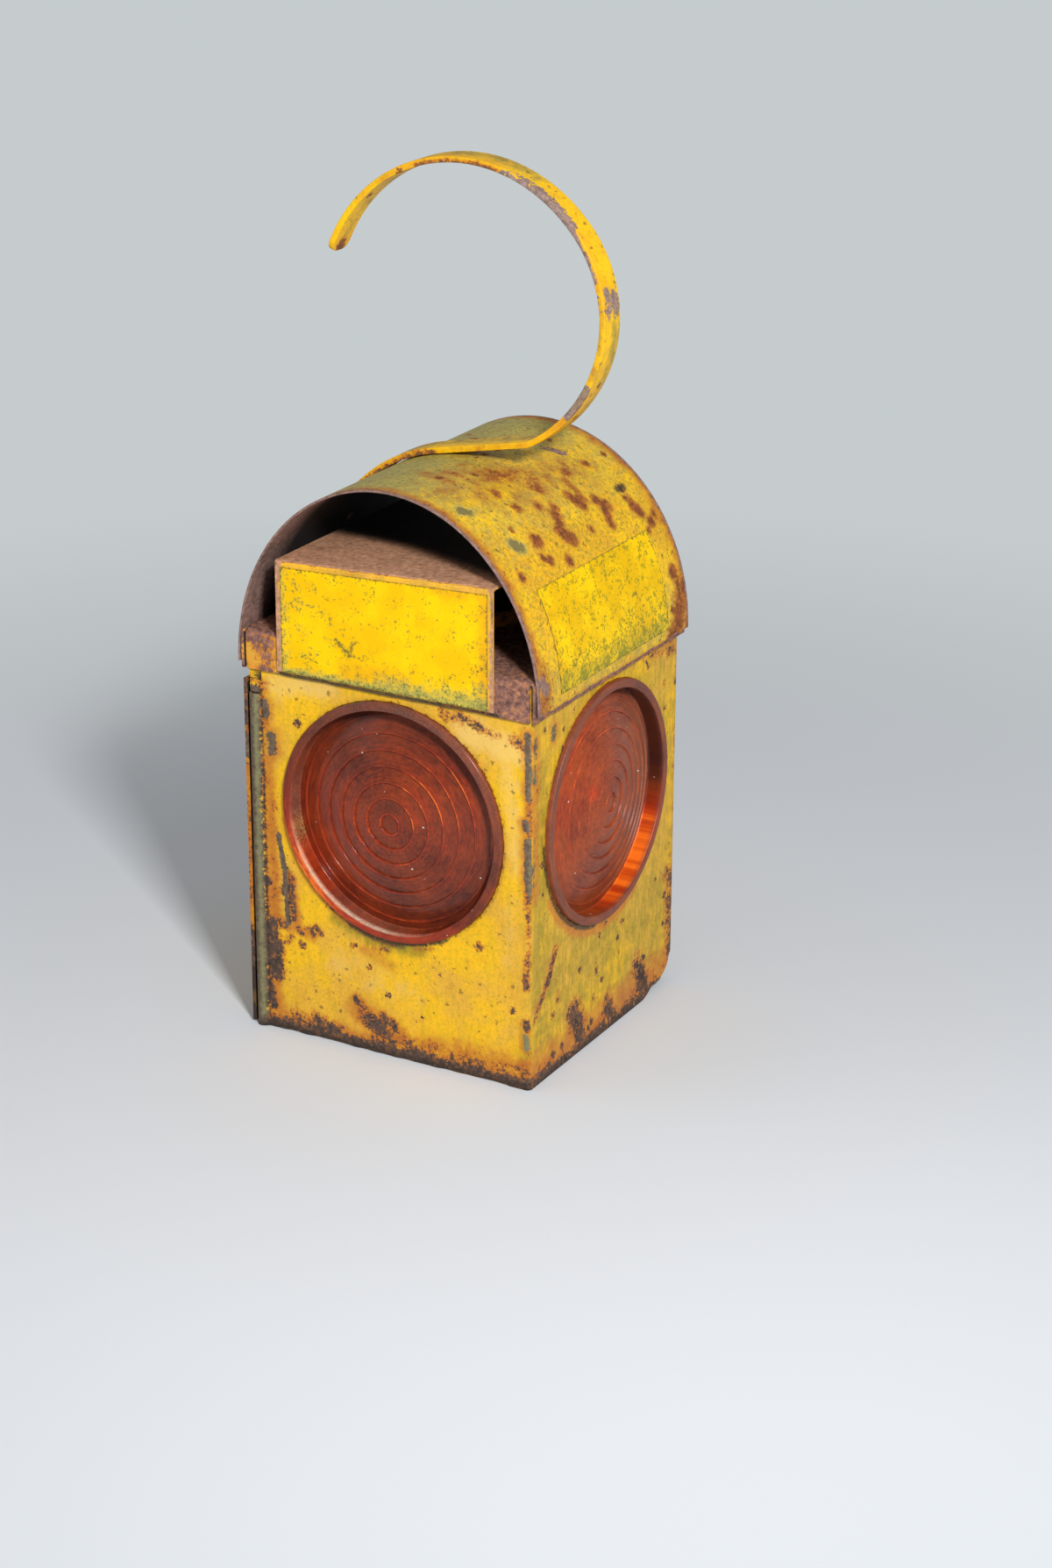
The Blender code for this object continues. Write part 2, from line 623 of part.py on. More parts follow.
def handle_strap():
    """Bend the flat bar handle with rounded ends."""
    path = strap_path()
    start_in = [path[0].lerp(path[1], share) for share in STRAP_END_SHARES]
    end_in = [path[-1].lerp(path[-2], share) for share in reversed(STRAP_END_SHARES)]
    path = start_in + path[1:-1] + end_in
    lengths = [0.0]
    for before, after in zip(path, path[1:]):
        lengths.append(lengths[-1] + (after - before).length)
    mesh = bmesh.new()
    rails = []
    for point, length in zip(path, lengths):
        near_end = min(length, lengths[-1] - length, STRAP_TIP)
        narrowing = STRAP_TIP - math.sqrt(STRAP_TIP ** 2 - (STRAP_TIP - near_end) ** 2)
        half = STRAP_WIDTH / 2 - narrowing
        rails.append((mesh.verts.new((point.x, -half, point.y)), mesh.verts.new((point.x, half, point.y))))
    for before, after in zip(rails, rails[1:]):
        mesh.faces.new((before[0], after[0], after[1], before[1]))
    strap = thicken(make_object("handle_strap", mesh, "yellow_paint"), STRAP_THICK)
    for index in range(len(STRAP_RIVET_ANGLES)):
        cut(strap, bpy.data.objects[f"cut_strap_rivet_{index}"])
    return strap


def drill(name, radius, depth, segments):
    """Make a round cutter along local -Z from a face at the origin, past the depth that it goes through."""
    low = -depth - CUT_PAST
    return turned(name, [(0, low), (radius, low), (radius, CUT_PAST), (0, CUT_PAST)], segments)


def rivet_tool(name, place, direction, grip):
    """Return the drill shape for a rivet, from its outer face through what it holds."""
    return aim(drill(name, RIVET_RADIUS + GAP, grip, RIVET_SEGMENTS), place, direction)


def rivet(name, place, direction, grip, material="rusty_steel"):
    """Make a round-head rivet: place is on the outer surface and grip is what it holds together."""
    head = [(RIVET_HEAD * math.cos(math.radians(angle)), GAP + RIVET_DOME * math.sin(math.radians(angle)))
            for angle in (0.0, 50.0)]
    tail = -grip - GAP
    section = [(0, GAP + RIVET_DOME), *reversed(head), (RIVET_RADIUS, GAP), (RIVET_RADIUS, tail),
               (RIVET_TAIL, tail), (RIVET_TAIL, tail - RIVET_TAIL_THICK), (0, tail - RIVET_TAIL_THICK)]
    return aim(turned(name, section, RIVET_SEGMENTS, material), place, direction)


def strap_rivet_place(index):
    """Return a handle rivet's place on the strap's outer face, and its direction."""
    offset = HOOD_SHEET / 2 + GAP + STRAP_THICK
    point, normal = arch_point(STRAP_RIVET_ANGLES[index], offset)
    return (point.x, 0.0, point.y), (normal.x, 0.0, normal.y)


def strap_rivet_hole(index):
    """Return the drill shape through the strap and the hood."""
    place, direction = strap_rivet_place(index)
    return rivet_tool(f"cut_strap_rivet_{index}", place, direction, STRAP_THICK + GAP + HOOD_SHEET)


def strap_rivets():
    """Make the rivets that hold the strap to the hood's left flank."""
    grip = STRAP_THICK + GAP + HOOD_SHEET
    for index in range(len(STRAP_RIVET_ANGLES)):
        place, direction = strap_rivet_place(index)
        rivet(f"handle_rivet_{index + 1}", place, direction, grip)


def lens_places():
    """Return each lens side's name, its centre on the wall's outer face and the way it faces."""
    return (("front", (LENS_FRONT_X, -HALF_DEPTH, LENS_HEIGHT), (0, -1, 0)),
            ("right", (HALF_WIDTH, 0.0, LENS_HEIGHT), (1, 0, 0)))


def lens_section():
    """Return the dished lens's half-section: back, seating flange, proud rim, well and stepped rings."""
    disc_front = LENS_PROUD - LENS_RECESS
    disc_back = disc_front - LENS_DISC
    flange_front = -WALL_SHEET - GAP
    flange_back = flange_front - LENS_FLANGE_THICK
    flange = LENS_RADIUS + LENS_FLANGE
    bowl = LENS_RADIUS - LENS_ROUND
    section = [(0, disc_back), (LENS_INNER - LENS_ROUND, disc_back),
               (bowl - LENS_ROUND, disc_back + 2 * LENS_ROUND), (bowl, flange_back),
               (flange, flange_back), (flange, flange_front), (LENS_RADIUS, flange_front),
               (LENS_RADIUS, LENS_PROUD - LENS_ROUND), (bowl, LENS_PROUD),
               (LENS_INNER + LENS_ROUND, LENS_PROUD), (LENS_INNER, LENS_PROUD - LENS_ROUND),
               (LENS_INNER - GAP, disc_front)]
    for ring in range(RING_COUNT - 1, -1, -1):
        radius = EYE_RADIUS + ring * RING_PITCH
        section.append((radius + GAP, disc_front + RING_STEP))
        section.append((radius - GAP, disc_front))
    section.append((0, disc_front + RING_STEP))
    return section


def retainer_section():
    """Return the retaining ring's Z section: foot on the wall, riser past the flange and lip behind it."""
    front = -WALL_SHEET - GAP
    inner = LENS_RADIUS + LENS_FLANGE + GAP
    outer = inner + RETAINER_SHEET
    lip_front = front - LENS_FLANGE_THICK - GAP
    lip = inner - RETAINER_LIP
    return [(outer + RETAINER_FOOT, front), (inner, front), (inner, lip_front), (lip, lip_front),
            (lip, lip_front - RETAINER_SHEET), (outer, lip_front - RETAINER_SHEET),
            (outer, front - RETAINER_SHEET), (outer + RETAINER_FOOT, front - RETAINER_SHEET)]


def lenses():
    """Make both lenses and the rings that hold them from inside."""
    for name, place, facing in lens_places():
        aim(turned(f"lens_{name}", lens_section(), LENS_SEGMENTS, "red_lens"), place, facing)
        ring = turned(f"lens_ring_{name}", retainer_section(), LENS_SEGMENTS, "rusty_steel", ring=True)
        aim(ring, place, facing)


def door_panel():
    """Make the door: a sheet with its edges hemmed flat on the inside."""
    mesh = bmesh.new()
    low = (DOOR_OUTER, -HALF_DEPTH, DOOR_LIFT)
    high = (DOOR_INNER, DOOR_BACK, DOOR_TOP)
    corners = [mesh.verts.new((high[0], y, z)) for y, z in
               ((low[1], low[2]), (high[1], low[2]), (high[1], high[2]), (low[1], high[2]))]
    inside = mesh.faces.new(corners)
    grown = bmesh.ops.extrude_face_region(mesh, geom=[inside], use_keep_orig=True)
    outer = [item for item in grown["geom"] if isinstance(item, bmesh.types.BMVert)]
    bmesh.ops.translate(mesh, verts=outer, vec=(low[0] - high[0], 0, 0))
    bmesh.ops.recalc_face_normals(mesh, faces=mesh.faces)
    bmesh.ops.inset_region(mesh, faces=[inside], thickness=DOOR_HEM, depth=0.0)
    bmesh.ops.translate(mesh, verts=inside.verts, vec=(-DOOR_SHEET, 0, 0))
    return make_object("door_panel", mesh, "rusty_paint")


def hinge(number, height):
    """Make one hinge: a leaf on the back wall, a leaf on the door, their pin and four rivets."""
    third = HINGE_LENGTH / 3
    low = height - HINGE_LENGTH / 2
    slack = KNUCKLE_GAP / 2
    rows = [low, low + third - slack, low + third + slack, low + 2 * third - slack,
            low + 2 * third + slack, low + HINGE_LENGTH]
    plate_edge = DOOR_BACK - DOOR_BACK_EASE / 2
    back_start = HINGE_AXIS.x + KNUCKLE_RADIUS + LEAF_WIDTH
    back_plate = -(HALF_WIDTH + DOOR_STAND)
    body_path = trace((back_start, BODY_LEAF_MID), 2 * SQUARE,
                      [back_start - back_plate, back_plate - HINGE_AXIS.x, (KNUCKLE_RADIUS, -KNUCKLE_CURL)],
                      FOLD_STEP)
    door_path = trace((DOOR_LEAF_MID, plate_edge - LEAF_WIDTH), SQUARE,
                      [LEAF_WIDTH, HINGE_AXIS.y - plate_edge, (KNUCKLE_RADIUS, KNUCKLE_CURL)], FOLD_STEP)
    body_leaf = fold(f"hinge_leaf_body_{number}", body_path, rows, plan, LEAF_SHEET, "rusty_steel",
                     keep=lambda column, row: column == 0 or row in (0, 4))
    door_leaf = fold(f"hinge_leaf_door_{number}", door_path, rows, plan, LEAF_SHEET, "rusty_steel",
                     keep=lambda column, row: column == 0 or row == 2)
    pin = turned(f"hinge_pin_{number}", rod(PIN_RADIUS, HINGE_LENGTH), WIRE_SEGMENTS, "rusty_steel")
    pin.location = (HINGE_AXIS.x, HINGE_AXIS.y, low)
    moving = [door_leaf]
    shell = bpy.data.objects["body_shell"]
    panel = bpy.data.objects["door_panel"]
    wall_grip = LEAF_SHEET + GAP + WALL_SHEET
    door_grip = LEAF_SHEET + GAP + DOOR_SHEET
    door_spot_y = plate_edge - LEAF_WIDTH + LEAF_RIVET_REACH
    for order, shift in enumerate((-LEAF_RIVET_SPREAD / 2, LEAF_RIVET_SPREAD / 2)):
        tag = 2 * number - 1 + order
        wall_spot = (back_start - LEAF_RIVET_REACH, HALF_DEPTH + GAP + LEAF_SHEET, height + shift)
        tool = rivet_tool(f"cut_wall_rivet_{tag}", wall_spot, (0, 1, 0), wall_grip)
        cut(shell, tool)
        cut(body_leaf, tool)
        rivet(f"wall_rivet_{tag}", wall_spot, (0, 1, 0), wall_grip)
        door_spot = (DOOR_OUTER - GAP - LEAF_SHEET, door_spot_y, height + shift)
        tool = rivet_tool(f"cut_door_rivet_{tag}", door_spot, (-1, 0, 0), door_grip)
        cut(panel, tool)
        cut(door_leaf, tool)
        moving.append(rivet(f"door_rivet_{tag}", door_spot, (-1, 0, 0), door_grip))
    return moving


def door_catch():
    """Make the spring tongue on the door's inside, whose nib passes behind the wired edge."""
    foot_mid = DOOR_OUTER + DOOR_SHEET + GAP + CATCH_SHEET / 2
    tongue_y = -HALF_DEPTH + DOOR_HEM + GAP + CATCH_SHEET / 2
    start = (foot_mid, tongue_y + CATCH_FOOT)
    moves = [CATCH_FOOT - STRIP_BEND, (STRIP_BEND, SQUARE), CATCH_REACH - STRIP_BEND]
    path = trace(start, -SQUARE, moves, FOLD_STEP)
    tip = path[-1]
    path += [tip + Vector((CATCH_NIB, -CATCH_NIB)), tip + Vector((2 * CATCH_NIB, 0.0))]
    rows = [CATCH_HEIGHT - CATCH_WIDTH / 2, CATCH_HEIGHT + CATCH_WIDTH / 2]
    catch = fold("door_catch", path, rows, plan, CATCH_SHEET, "bare_steel")
    moving = [catch]
    grip = DOOR_SHEET + GAP + CATCH_SHEET
    for index, shift in enumerate((-CATCH_WIDTH / 4, CATCH_WIDTH / 4)):
        spot = (DOOR_OUTER, tongue_y + CATCH_FOOT / 2, CATCH_HEIGHT + shift)
        tool = rivet_tool(f"cut_catch_rivet_{index}", spot, (-1, 0, 0), grip)
        cut(bpy.data.objects["door_panel"], tool)
        cut(catch, tool)
        moving.append(rivet(f"catch_rivet_{index + 1}", spot, (-1, 0, 0), grip))
    return moving


def door():
    """Make the door with its hinges and catch, all hung on the hinge axis."""
    panel = door_panel()
    moving = [panel]
    for number, height in enumerate(HINGE_HEIGHTS, 1):
        moving += hinge(number, height)
    moving += door_catch()
    hang_on(axis_empty("door_axis", HINGE_AXIS), *moving)


def font():
    """Make the oil tank and the three angle strips that locate it on the base."""
    inner = FONT_RADIUS - FONT_SHEET
    roof = FONT_FLOOR + FONT_SIDE
    bore = COLLAR_RADIUS - FONT_SHEET
    section = [(0, FONT_FLOOR), (FONT_RADIUS - FONT_SEAM, FONT_FLOOR), (FONT_RADIUS, FONT_FLOOR + FONT_SEAM),
               (FONT_RADIUS, roof - FONT_SEAM), (FONT_RADIUS - FONT_SEAM, roof), (COLLAR_RADIUS, FONT_TOP),
               (COLLAR_RADIUS, COLLAR_TOP), (bore, COLLAR_TOP), (bore, FONT_TOP - FONT_SHEET),
               (inner - FONT_SEAM, roof - FONT_SHEET), (inner, roof - FONT_SEAM),
               (inner, FONT_FLOOR + FONT_SEAM), (inner - FONT_SEAM, FONT_FLOOR + FONT_SHEET),
               (0, FONT_FLOOR + FONT_SHEET)]
    turned("font_tank", section, FONT_SEGMENTS, "tinplate")
    seat = FONT_RADIUS + GAP + GUIDE_SHEET / 2
    level = PAN_SHEET + GAP + GUIDE_SHEET / 2
    moves = [GUIDE_FOOT - STRIP_BEND, (STRIP_BEND, SQUARE), GUIDE_HEIGHT - STRIP_BEND]
    angle = trace((-seat - GUIDE_FOOT, level), 0.0, moves, COARSE_FOLD_STEP)
    across = [-GUIDE_LENGTH / 2, GUIDE_LENGTH / 2]
    fold("font_guide_front", angle, across, side_view, GUIDE_SHEET, "tinplate")
    mirrored = [Vector((-y, z)) for y, z in angle]
    fold("font_guide_back", mirrored, across, side_view, GUIDE_SHEET, "tinplate")
    fold("font_stop", mirrored, [-STOP_LENGTH / 2, STOP_LENGTH / 2], front_view, GUIDE_SHEET, "tinplate")


def burner():
    """Make the burner: screwed skirt, drum and gallery in one turning, the wick tube and the cone."""
    skirt = COLLAR_RADIUS - FONT_SHEET - GAP
    skirt_in = skirt - BURNER_SHEET
    drum_in = DRUM_RADIUS - BURNER_SHEET
    floor = FLANGE_TOP + DRUM_FLOOR
    section = [(0, floor), (drum_in, floor), (drum_in, FLANGE_LOW), (skirt_in, FLANGE_LOW),
               (skirt_in, FLANGE_LOW - BURNER_SKIRT), (skirt, FLANGE_LOW - BURNER_SKIRT), (skirt, FLANGE_LOW),
               (BURNER_FLANGE, FLANGE_LOW), (BURNER_FLANGE, FLANGE_TOP), (DRUM_RADIUS, FLANGE_TOP),
               (DRUM_RADIUS, GALLERY_LOW), (GALLERY_RADIUS, GALLERY_LOW), (GALLERY_RADIUS, GALLERY_TOP),
               (drum_in, GALLERY_TOP), (drum_in, floor + BURNER_SHEET), (0, floor + BURNER_SHEET)]
    body = turned("burner_body", section, BURNER_SEGMENTS, "brass")
    tube_x = WICK_WIDTH / 2 + WICK_EASE + TUBE_SHEET
    tube_y = WICK_THICK / 2 + WICK_EASE + TUBE_SHEET
    slot = block("cut_burner_slot", (-tube_x - GAP, -tube_y - GAP, floor - CUT_PAST),
                 (tube_x + GAP, tube_y + GAP, floor + BURNER_SHEET + CUT_PAST))
    bearing = drill("cut_spindle_bearing", SPINDLE_RADIUS + GAP, 2 * DRUM_RADIUS, BORE_SEGMENTS)
    aim(bearing, (DRUM_RADIUS, SPINDLE_Y, SPINDLE_Z), (1, 0, 0))
    cut(body, slot, bearing)

    low = FLANGE_LOW - TUBE_BELOW_FLANGE
    tube = block("wick_tube", (-tube_x, -tube_y, low), (tube_x, tube_y, TUBE_TOP), "brass")
    bore_x = tube_x - TUBE_SHEET
    bore_y = tube_y - TUBE_SHEET
    cut(tube, block("cut_tube_bore", (-bore_x, -bore_y, 0), (bore_x, bore_y, 2 * TUBE_TOP)))
    half = WINDER_THICK / 2 + WICK_EASE
    for name, x in (("left", -WINDER_SPREAD / 2), ("right", WINDER_SPREAD / 2)):
        low = (x - half, -2 * tube_y, SPINDLE_Z - WINDER_RADIUS + WICK_EASE)
        high = (x + half, -bore_y / 2, SPINDLE_Z + WINDER_RADIUS - WICK_EASE)
        cut(tube, block(f"cut_tube_window_{name}", low, high))

    foot = GALLERY_TOP + GAP
    outer = [(CONE_RADIUS * share, foot + CONE_HEIGHT * rise) for share, rise in CONE_SHARES]
    inside = [((CONE_RADIUS - CONE_SHEET) * share, foot + (CONE_HEIGHT - CONE_SHEET) * rise)
              for share, rise in CONE_SHARES]
    cone = turned("burner_cone", outer[::-1] + inside, BURNER_SEGMENTS, "brass")
    opening = block("cut_cone_slot", (-CONE_SLOT_LENGTH / 2, -CONE_SLOT_WIDTH / 2, foot + CONE_HEIGHT / 2),
                    (CONE_SLOT_LENGTH / 2, CONE_SLOT_WIDTH / 2, foot + 2 * CONE_HEIGHT))
    cut(cone, opening)


def wick():
    """Make the flat wick, from the font's floor to just above its tube."""
    half_x = WICK_WIDTH / 2
    half_y = WICK_THICK / 2
    low = FONT_FLOOR + WICK_TAIL
    ribbon = block("wick", (-half_x, -half_y, low), (half_x, half_y, TUBE_TOP + WICK_SHOWS), "cotton")
    hang_on(axis_empty("wick_axis", (0, 0, TUBE_TOP)), ribbon)


def winder():
    """Make the winder: a spindle with two toothed wheels against the wick, and its fluted knob."""
    spindle = turned("winder_spindle", rod(SPINDLE_RADIUS, SPINDLE_LENGTH), BORE_SEGMENTS, "brass")
    aim(spindle, (SPINDLE_LEFT, SPINDLE_Y, SPINDLE_Z), (1, 0, 0))
    wheel_star = star(WINDER_TEETH, WINDER_RADIUS, WINDER_RADIUS - WINDER_TOOTH)
    teeth = [(y + SPINDLE_Y, z + SPINDLE_Z) for y, z in wheel_star]
    for name, x in (("left", -WINDER_SPREAD / 2), ("right", WINDER_SPREAD / 2)):
        wheel = prism(f"add_wheel_{name}", teeth, x - WINDER_THICK / 2, x + WINDER_THICK / 2, side_view)
        join(spindle, wheel)
    knob_star = star(KNOB_FLUTES, KNOB_RADIUS, KNOB_RADIUS - KNOB_FLUTE)
    flutes = [(y + SPINDLE_Y, z + SPINDLE_Z) for y, z in knob_star]
    knob_left = SPINDLE_LEFT - GAP
    knob_right = knob_left + KNOB_THICK
    knob = prism("winder_knob", flutes, knob_left, knob_right, side_view, "brass")
    bore = drill("cut_knob_bore", SPINDLE_RADIUS + GAP, KNOB_THICK, BORE_SEGMENTS)
    cut(knob, aim(bore, (knob_right, SPINDLE_Y, SPINDLE_Z), (1, 0, 0)))
    hang_on(axis_empty("winder_axis", (0, SPINDLE_Y, SPINDLE_Z)), spindle, knob)


def main():
    """Build the lantern from the outside in."""
    clear_scene()
    body_shell()
    edge_wire()
    base_pan()
    lid_pan()
    hood()
    draught_baffle()
    handle_strap()
    strap_rivets()
    lenses()
    door()
    font()
    burner()
    wick()
    winder()


main()
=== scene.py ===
"""Looks of the railway lantern: weathered enamel, red ring lenses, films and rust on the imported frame.

Units are metres and +Z is up, as in the frame. The front lens faces -Y and the second lens +X.
Worn places are laid out in millimetres.
"""
import json
import logging
import math
from collections.abc import Iterable, Sequence
from dataclasses import dataclass
from enum import Enum
from functools import partial

import bmesh
import bpy
import numpy as np
from mathutils import Matrix, Vector, noise


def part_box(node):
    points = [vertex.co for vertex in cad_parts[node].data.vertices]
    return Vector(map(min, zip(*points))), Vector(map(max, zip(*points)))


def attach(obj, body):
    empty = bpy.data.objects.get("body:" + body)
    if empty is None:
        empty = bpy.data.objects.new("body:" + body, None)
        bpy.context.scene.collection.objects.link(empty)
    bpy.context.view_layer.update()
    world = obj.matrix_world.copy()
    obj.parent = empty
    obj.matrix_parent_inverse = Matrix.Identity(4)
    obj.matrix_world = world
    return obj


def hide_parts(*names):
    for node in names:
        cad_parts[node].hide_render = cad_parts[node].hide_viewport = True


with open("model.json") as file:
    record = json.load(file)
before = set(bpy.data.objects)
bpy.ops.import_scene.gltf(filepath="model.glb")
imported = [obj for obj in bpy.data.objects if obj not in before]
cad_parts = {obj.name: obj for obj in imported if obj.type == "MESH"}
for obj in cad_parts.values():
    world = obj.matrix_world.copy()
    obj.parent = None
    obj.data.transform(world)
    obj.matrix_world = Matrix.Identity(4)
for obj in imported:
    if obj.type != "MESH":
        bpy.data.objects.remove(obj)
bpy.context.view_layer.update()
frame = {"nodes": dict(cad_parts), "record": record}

MM = 0.001
LOG = logging.getLogger("lantern")
Tree = bpy.types.NodeTree
Socket = bpy.types.NodeSocket
Point = tuple[float, float, float]
FRONT = (0.0, -1.0, 0.0)
RIGHT = (1.0, 0.0, 0.0)
UP = (0.0, 0.0, 1.0)

# Where the worn places of the walls are laid out, in millimetres, and the plane that the front lens sits in.
FRONT_FACE = -75.2
RIGHT_FACE = 80.2
FRONT_SEAT = -75.0 * MM


class Wear(Enum):
    """What the years did to a surface, with some painted light and shade, each kept as a soft field from 0 to
    1 on the mesh.
    """

    RUST = "rust"
    BARE = "bare"
    ALGAE = "algae"
    # Dirt, and painted shade in the lenses' wells and in the crease beside the wired edge.
    GRIME_AND_SHADE = "grime_and_shade"
    # Soot, and painted shade: the dark insides and the hood's shadow on the baffle's top.
    SOOT_AND_SHADE = "soot_and_shade"
    # Dust, and the painted glint on the front lens's lower-left lip.
    DUST_AND_GLINT = "dust_and_glint"
    # Painted light: lens parts painted glowing as if lit through.
    GLOW = "painted_glow"
    STAIN = "stain"


Rows = dict[Wear, tuple[tuple[float, ...], ...]]


@dataclass(frozen=True)
class Mark:
    """One worn place: a soft streak of some width between two points, all in millimetres.

    A round spot has the same start and end. The paint is gone over rather less than half the width.
    """

    wear: Wear
    start: Point
    end: Point
    width: float
    strength: float = 1.0
    facing: Point | None = None

    def field(self, places: np.ndarray, normals: np.ndarray) -> np.ndarray:
        """Return how strongly the mark shows at each place.

        Args:
            places: Points in metres, one a row.
            normals: The surface's directions at these points.

        Returns:
            Values from 0 to the mark's strength.
        """
        start = np.array(self.start) * MM
        along = np.array(self.end) * MM - start
        reach = max(float(along @ along), 1e-12)
        share = np.clip(((places - start) @ along) / reach, 0.0, 1.0)
        away = np.linalg.norm(places - start - share[:, None] * along, axis=1)
        near = np.clip(1.0 - away / (self.width * MM), 0.0, 1.0)
        value = self.strength * near * near * (3.0 - 2.0 * near)
        if self.facing is not None:
            value *= np.clip(2.0 * (normals @ np.array(self.facing)), 0.0, 1.0)
        return value


def lay(rows: Rows, facing: Point | None = None) -> list[Mark]:
    """Turn rows of millimetres into worn places.

    Args:
        rows: For each kind of wear, rows that end with a width and a strength. Before these stands a round
            spot's point, or both ends of a streak. An end on a wall is two numbers, across it and up.
        facing: The direction of the surface, or none for any.

    Returns:
        The marks.
    """
    made = []
    for wear, group in rows.items():
        for *places, width, strength in group:
            half = 2 if len(places) == 4 else 3
            ends = [places[:half], places[half:] or places[:half]]
            if half == 2:
                ends = [(a, FRONT_FACE, z) if facing == FRONT else (RIGHT_FACE, a, z) for a, z in ends]
            made.append(Mark(wear, tuple(ends[0]), tuple(ends[1]), width, strength, facing))
    return made


class WearMap:
    """The wear fields of one piece's mesh while they are worked out."""

    def __init__(self, thing: bpy.types.Object) -> None:
        """Read the piece's points and directions.

        Args:
            thing: The piece.
        """
        self.data = thing.data
        self.places = self.read("co")
        self.normals = self.read("normal")
        self.fields = {wear: np.zeros(len(self.places)) for wear in Wear}

    def read(self, name: str) -> np.ndarray:
        """Return a vector property of every point, one a row.

        Args:
            name: The property's name.
        """
        flat = np.empty(len(self.data.vertices) * 3, np.float32)
        self.data.vertices.foreach_get(name, flat)
        return flat.reshape(-1, 3).astype(float)

    def lift(self, wear: Wear, *layers: np.ndarray) -> None:
        """Raise a field to the values of some layers where it is lower.

        Args:
            wear: The field.
            layers: Values for every point.
        """
        for values in layers:
            self.fields[wear] = np.maximum(self.fields[wear], values)

    def mark(self, places: Iterable[Mark]) -> None:
        """Add worn places.

        Args:
            places: The marks.
        """
        for each in places:
            self.lift(each.wear, each.field(self.places, self.normals))

    def edges(self, amount: float, spread: float = 14.0) -> None:
        """Rub the paint from the sheet's sharp edges, more in some stretches than in others.

        Args:
            amount: How far the paint has gone, from 0 to 1.
            spread: Length of a stretch in millimetres.
        """
        sharp = self.data.attributes.get("sharp_edge")
        if sharp is None:
            return
        values = np.zeros(len(self.places))
        for edge in self.data.edges:
            if sharp.data[edge.index].value:
                for corner in edge.vertices:
                    if not values[corner]:
                        patch = noise.noise(Vector(self.places[corner]) / (spread * MM))
                        values[corner] = min(1.0, max(0.02, amount + 0.9 * patch))
        self.lift(Wear.BARE, values)

    def inside(self, centre: Point, soot_and_shade: np.ndarray | float) -> None:
        """Turn the faces towards a point inside the shell to bare metal, blackened where sooty and in painted
        shade.

        Args:
            centre: The point in millimetres.
            soot_and_shade: How black they are, from 0 to 1.
        """
        away = self.places - np.array(centre) * MM
        outward = np.einsum("ij,ij->i", self.normals, away) / np.linalg.norm(away, axis=1)
        inner = outward < -0.25
        self.fields[Wear.ALGAE][inner] = 0.0
        self.fields[Wear.RUST][inner] = 0.0
        self.lift(Wear.BARE, 0.9 * inner)
        self.lift(Wear.SOOT_AND_SHADE, soot_and_shade * inner)

    def write(self) -> None:
        """Keep the fields on the mesh."""
        for wear, values in self.fields.items():
            layer = self.data.attributes.new(wear.value, "FLOAT", "POINT")
            layer.data.foreach_set("value", values.astype(np.float32))


def linear(hex_colour: str) -> tuple[float, float, float, float]:
    """Turn an sRGB hex colour into the linear colour that the shaders use.

    Args:
        hex_colour: Six hex digits after a hash sign.

    Returns:
        Red, green, blue and a full alpha.
    """
    channels = [int(hex_colour[place:place + 2], 16) / 255 for place in (1, 3, 5)]
    straight = [c / 12.92 if c <= 0.04045 else ((c + 0.055) / 1.055) ** 2.4 for c in channels]
    return (*straight, 1.0)


def per_mm(size: float) -> float:
    """Return the pattern scale whose features are about some millimetres across.

    Args:
        size: Their size.
    """
    return 1.0 / (size * MM)


def add(tree: Tree, kind: str, inputs: dict | None = None, output: str | int = 0,
        stops: Sequence[tuple[float, str]] = (), **settings: object) -> Socket:
    """Add one shader node with its settings and links.

    Args:
        tree: The material's nodes.
        kind: Blender's name of the node type, without its ShaderNode prefix.
        inputs: Input names or numbers with a socket to link or a value to set.
        output: The wanted output's name, or 0 for the first in use.
        stops: A colour ramp's stops, each a place and a hex colour.
        settings: The node's own properties.

    Returns:
        That output.
    """
    made = tree.nodes.new("ShaderNode" + kind)
    for name, value in settings.items():
        setattr(made, name, value)
    for name, value in (inputs or {}).items():
        socket = next(s for place, s in enumerate(made.inputs) if s.enabled and name in (s.name, place))
        if isinstance(value, Socket):
            tree.links.new(value, socket)
        else:
            socket.default_value = value
    for place, (position, colour) in enumerate(stops):
        elements = made.color_ramp.elements
        stop = elements[place] if place < 2 else elements.new(position)
        stop.position, stop.color = position, linear(colour)
    return next((s for s in made.outputs if s.enabled and output in (s.name, 0)), None)


def new_material(name: str) -> tuple[bpy.types.Material, Tree, Socket]:
    """Make an empty material.

    Args:
        name: What the material is.

    Returns:
        The material, its nodes and its object coordinates.
    """
    material = bpy.data.materials.new(name)
    material.use_nodes = True
    tree = material.node_tree
    tree.nodes.clear()
    return material, tree, add(tree, "TexCoord", output="Object")


def broken(tree: Tree, field: Socket, parts: Sequence[tuple[Socket, float]], low: float, high: float,
           most: float = 1.0, soft: bool = False) -> Socket:
    """Return a mask of where a wear field, broken up by patterns, passes a threshold.

    Args:
        tree: The material's nodes.
        field: The field.
        parts: The patterns, each with its weight.
        low: The sum at which the mask starts.
        high: The sum at which it is full.
        most: Its value when full.
        soft: Whether it eases in and out.
    """
    for pattern, weight in parts:
        field = add(tree, "Math", {0: pattern, 1: weight, 2: field}, operation="MULTIPLY_ADD")
    return add(tree, "MapRange", {"Value": field, "From Min": low, "From Max": high, "To Max": most},
               interpolation_type="SMOOTHSTEP" if soft else "LINEAR")


def layered(tree: Tree, colour: Socket | str, *layers: tuple[Socket, Socket | str]) -> Socket:
    """Lay colours over one another, each where its mask shows it.

    Args:
        tree: The material's nodes.
        colour: The lowest colour, a socket or a hex colour.
        layers: Each a mask and a colour.

    Returns:
        The colour seen from above.
    """
    for mask, over in layers:
        below, over = (linear(value) if isinstance(value, str) else value for value in (colour, over))
        colour = add(tree, "Mix", {"Factor": mask, "A": below, "B": over}, data_type="RGBA")
    return colour


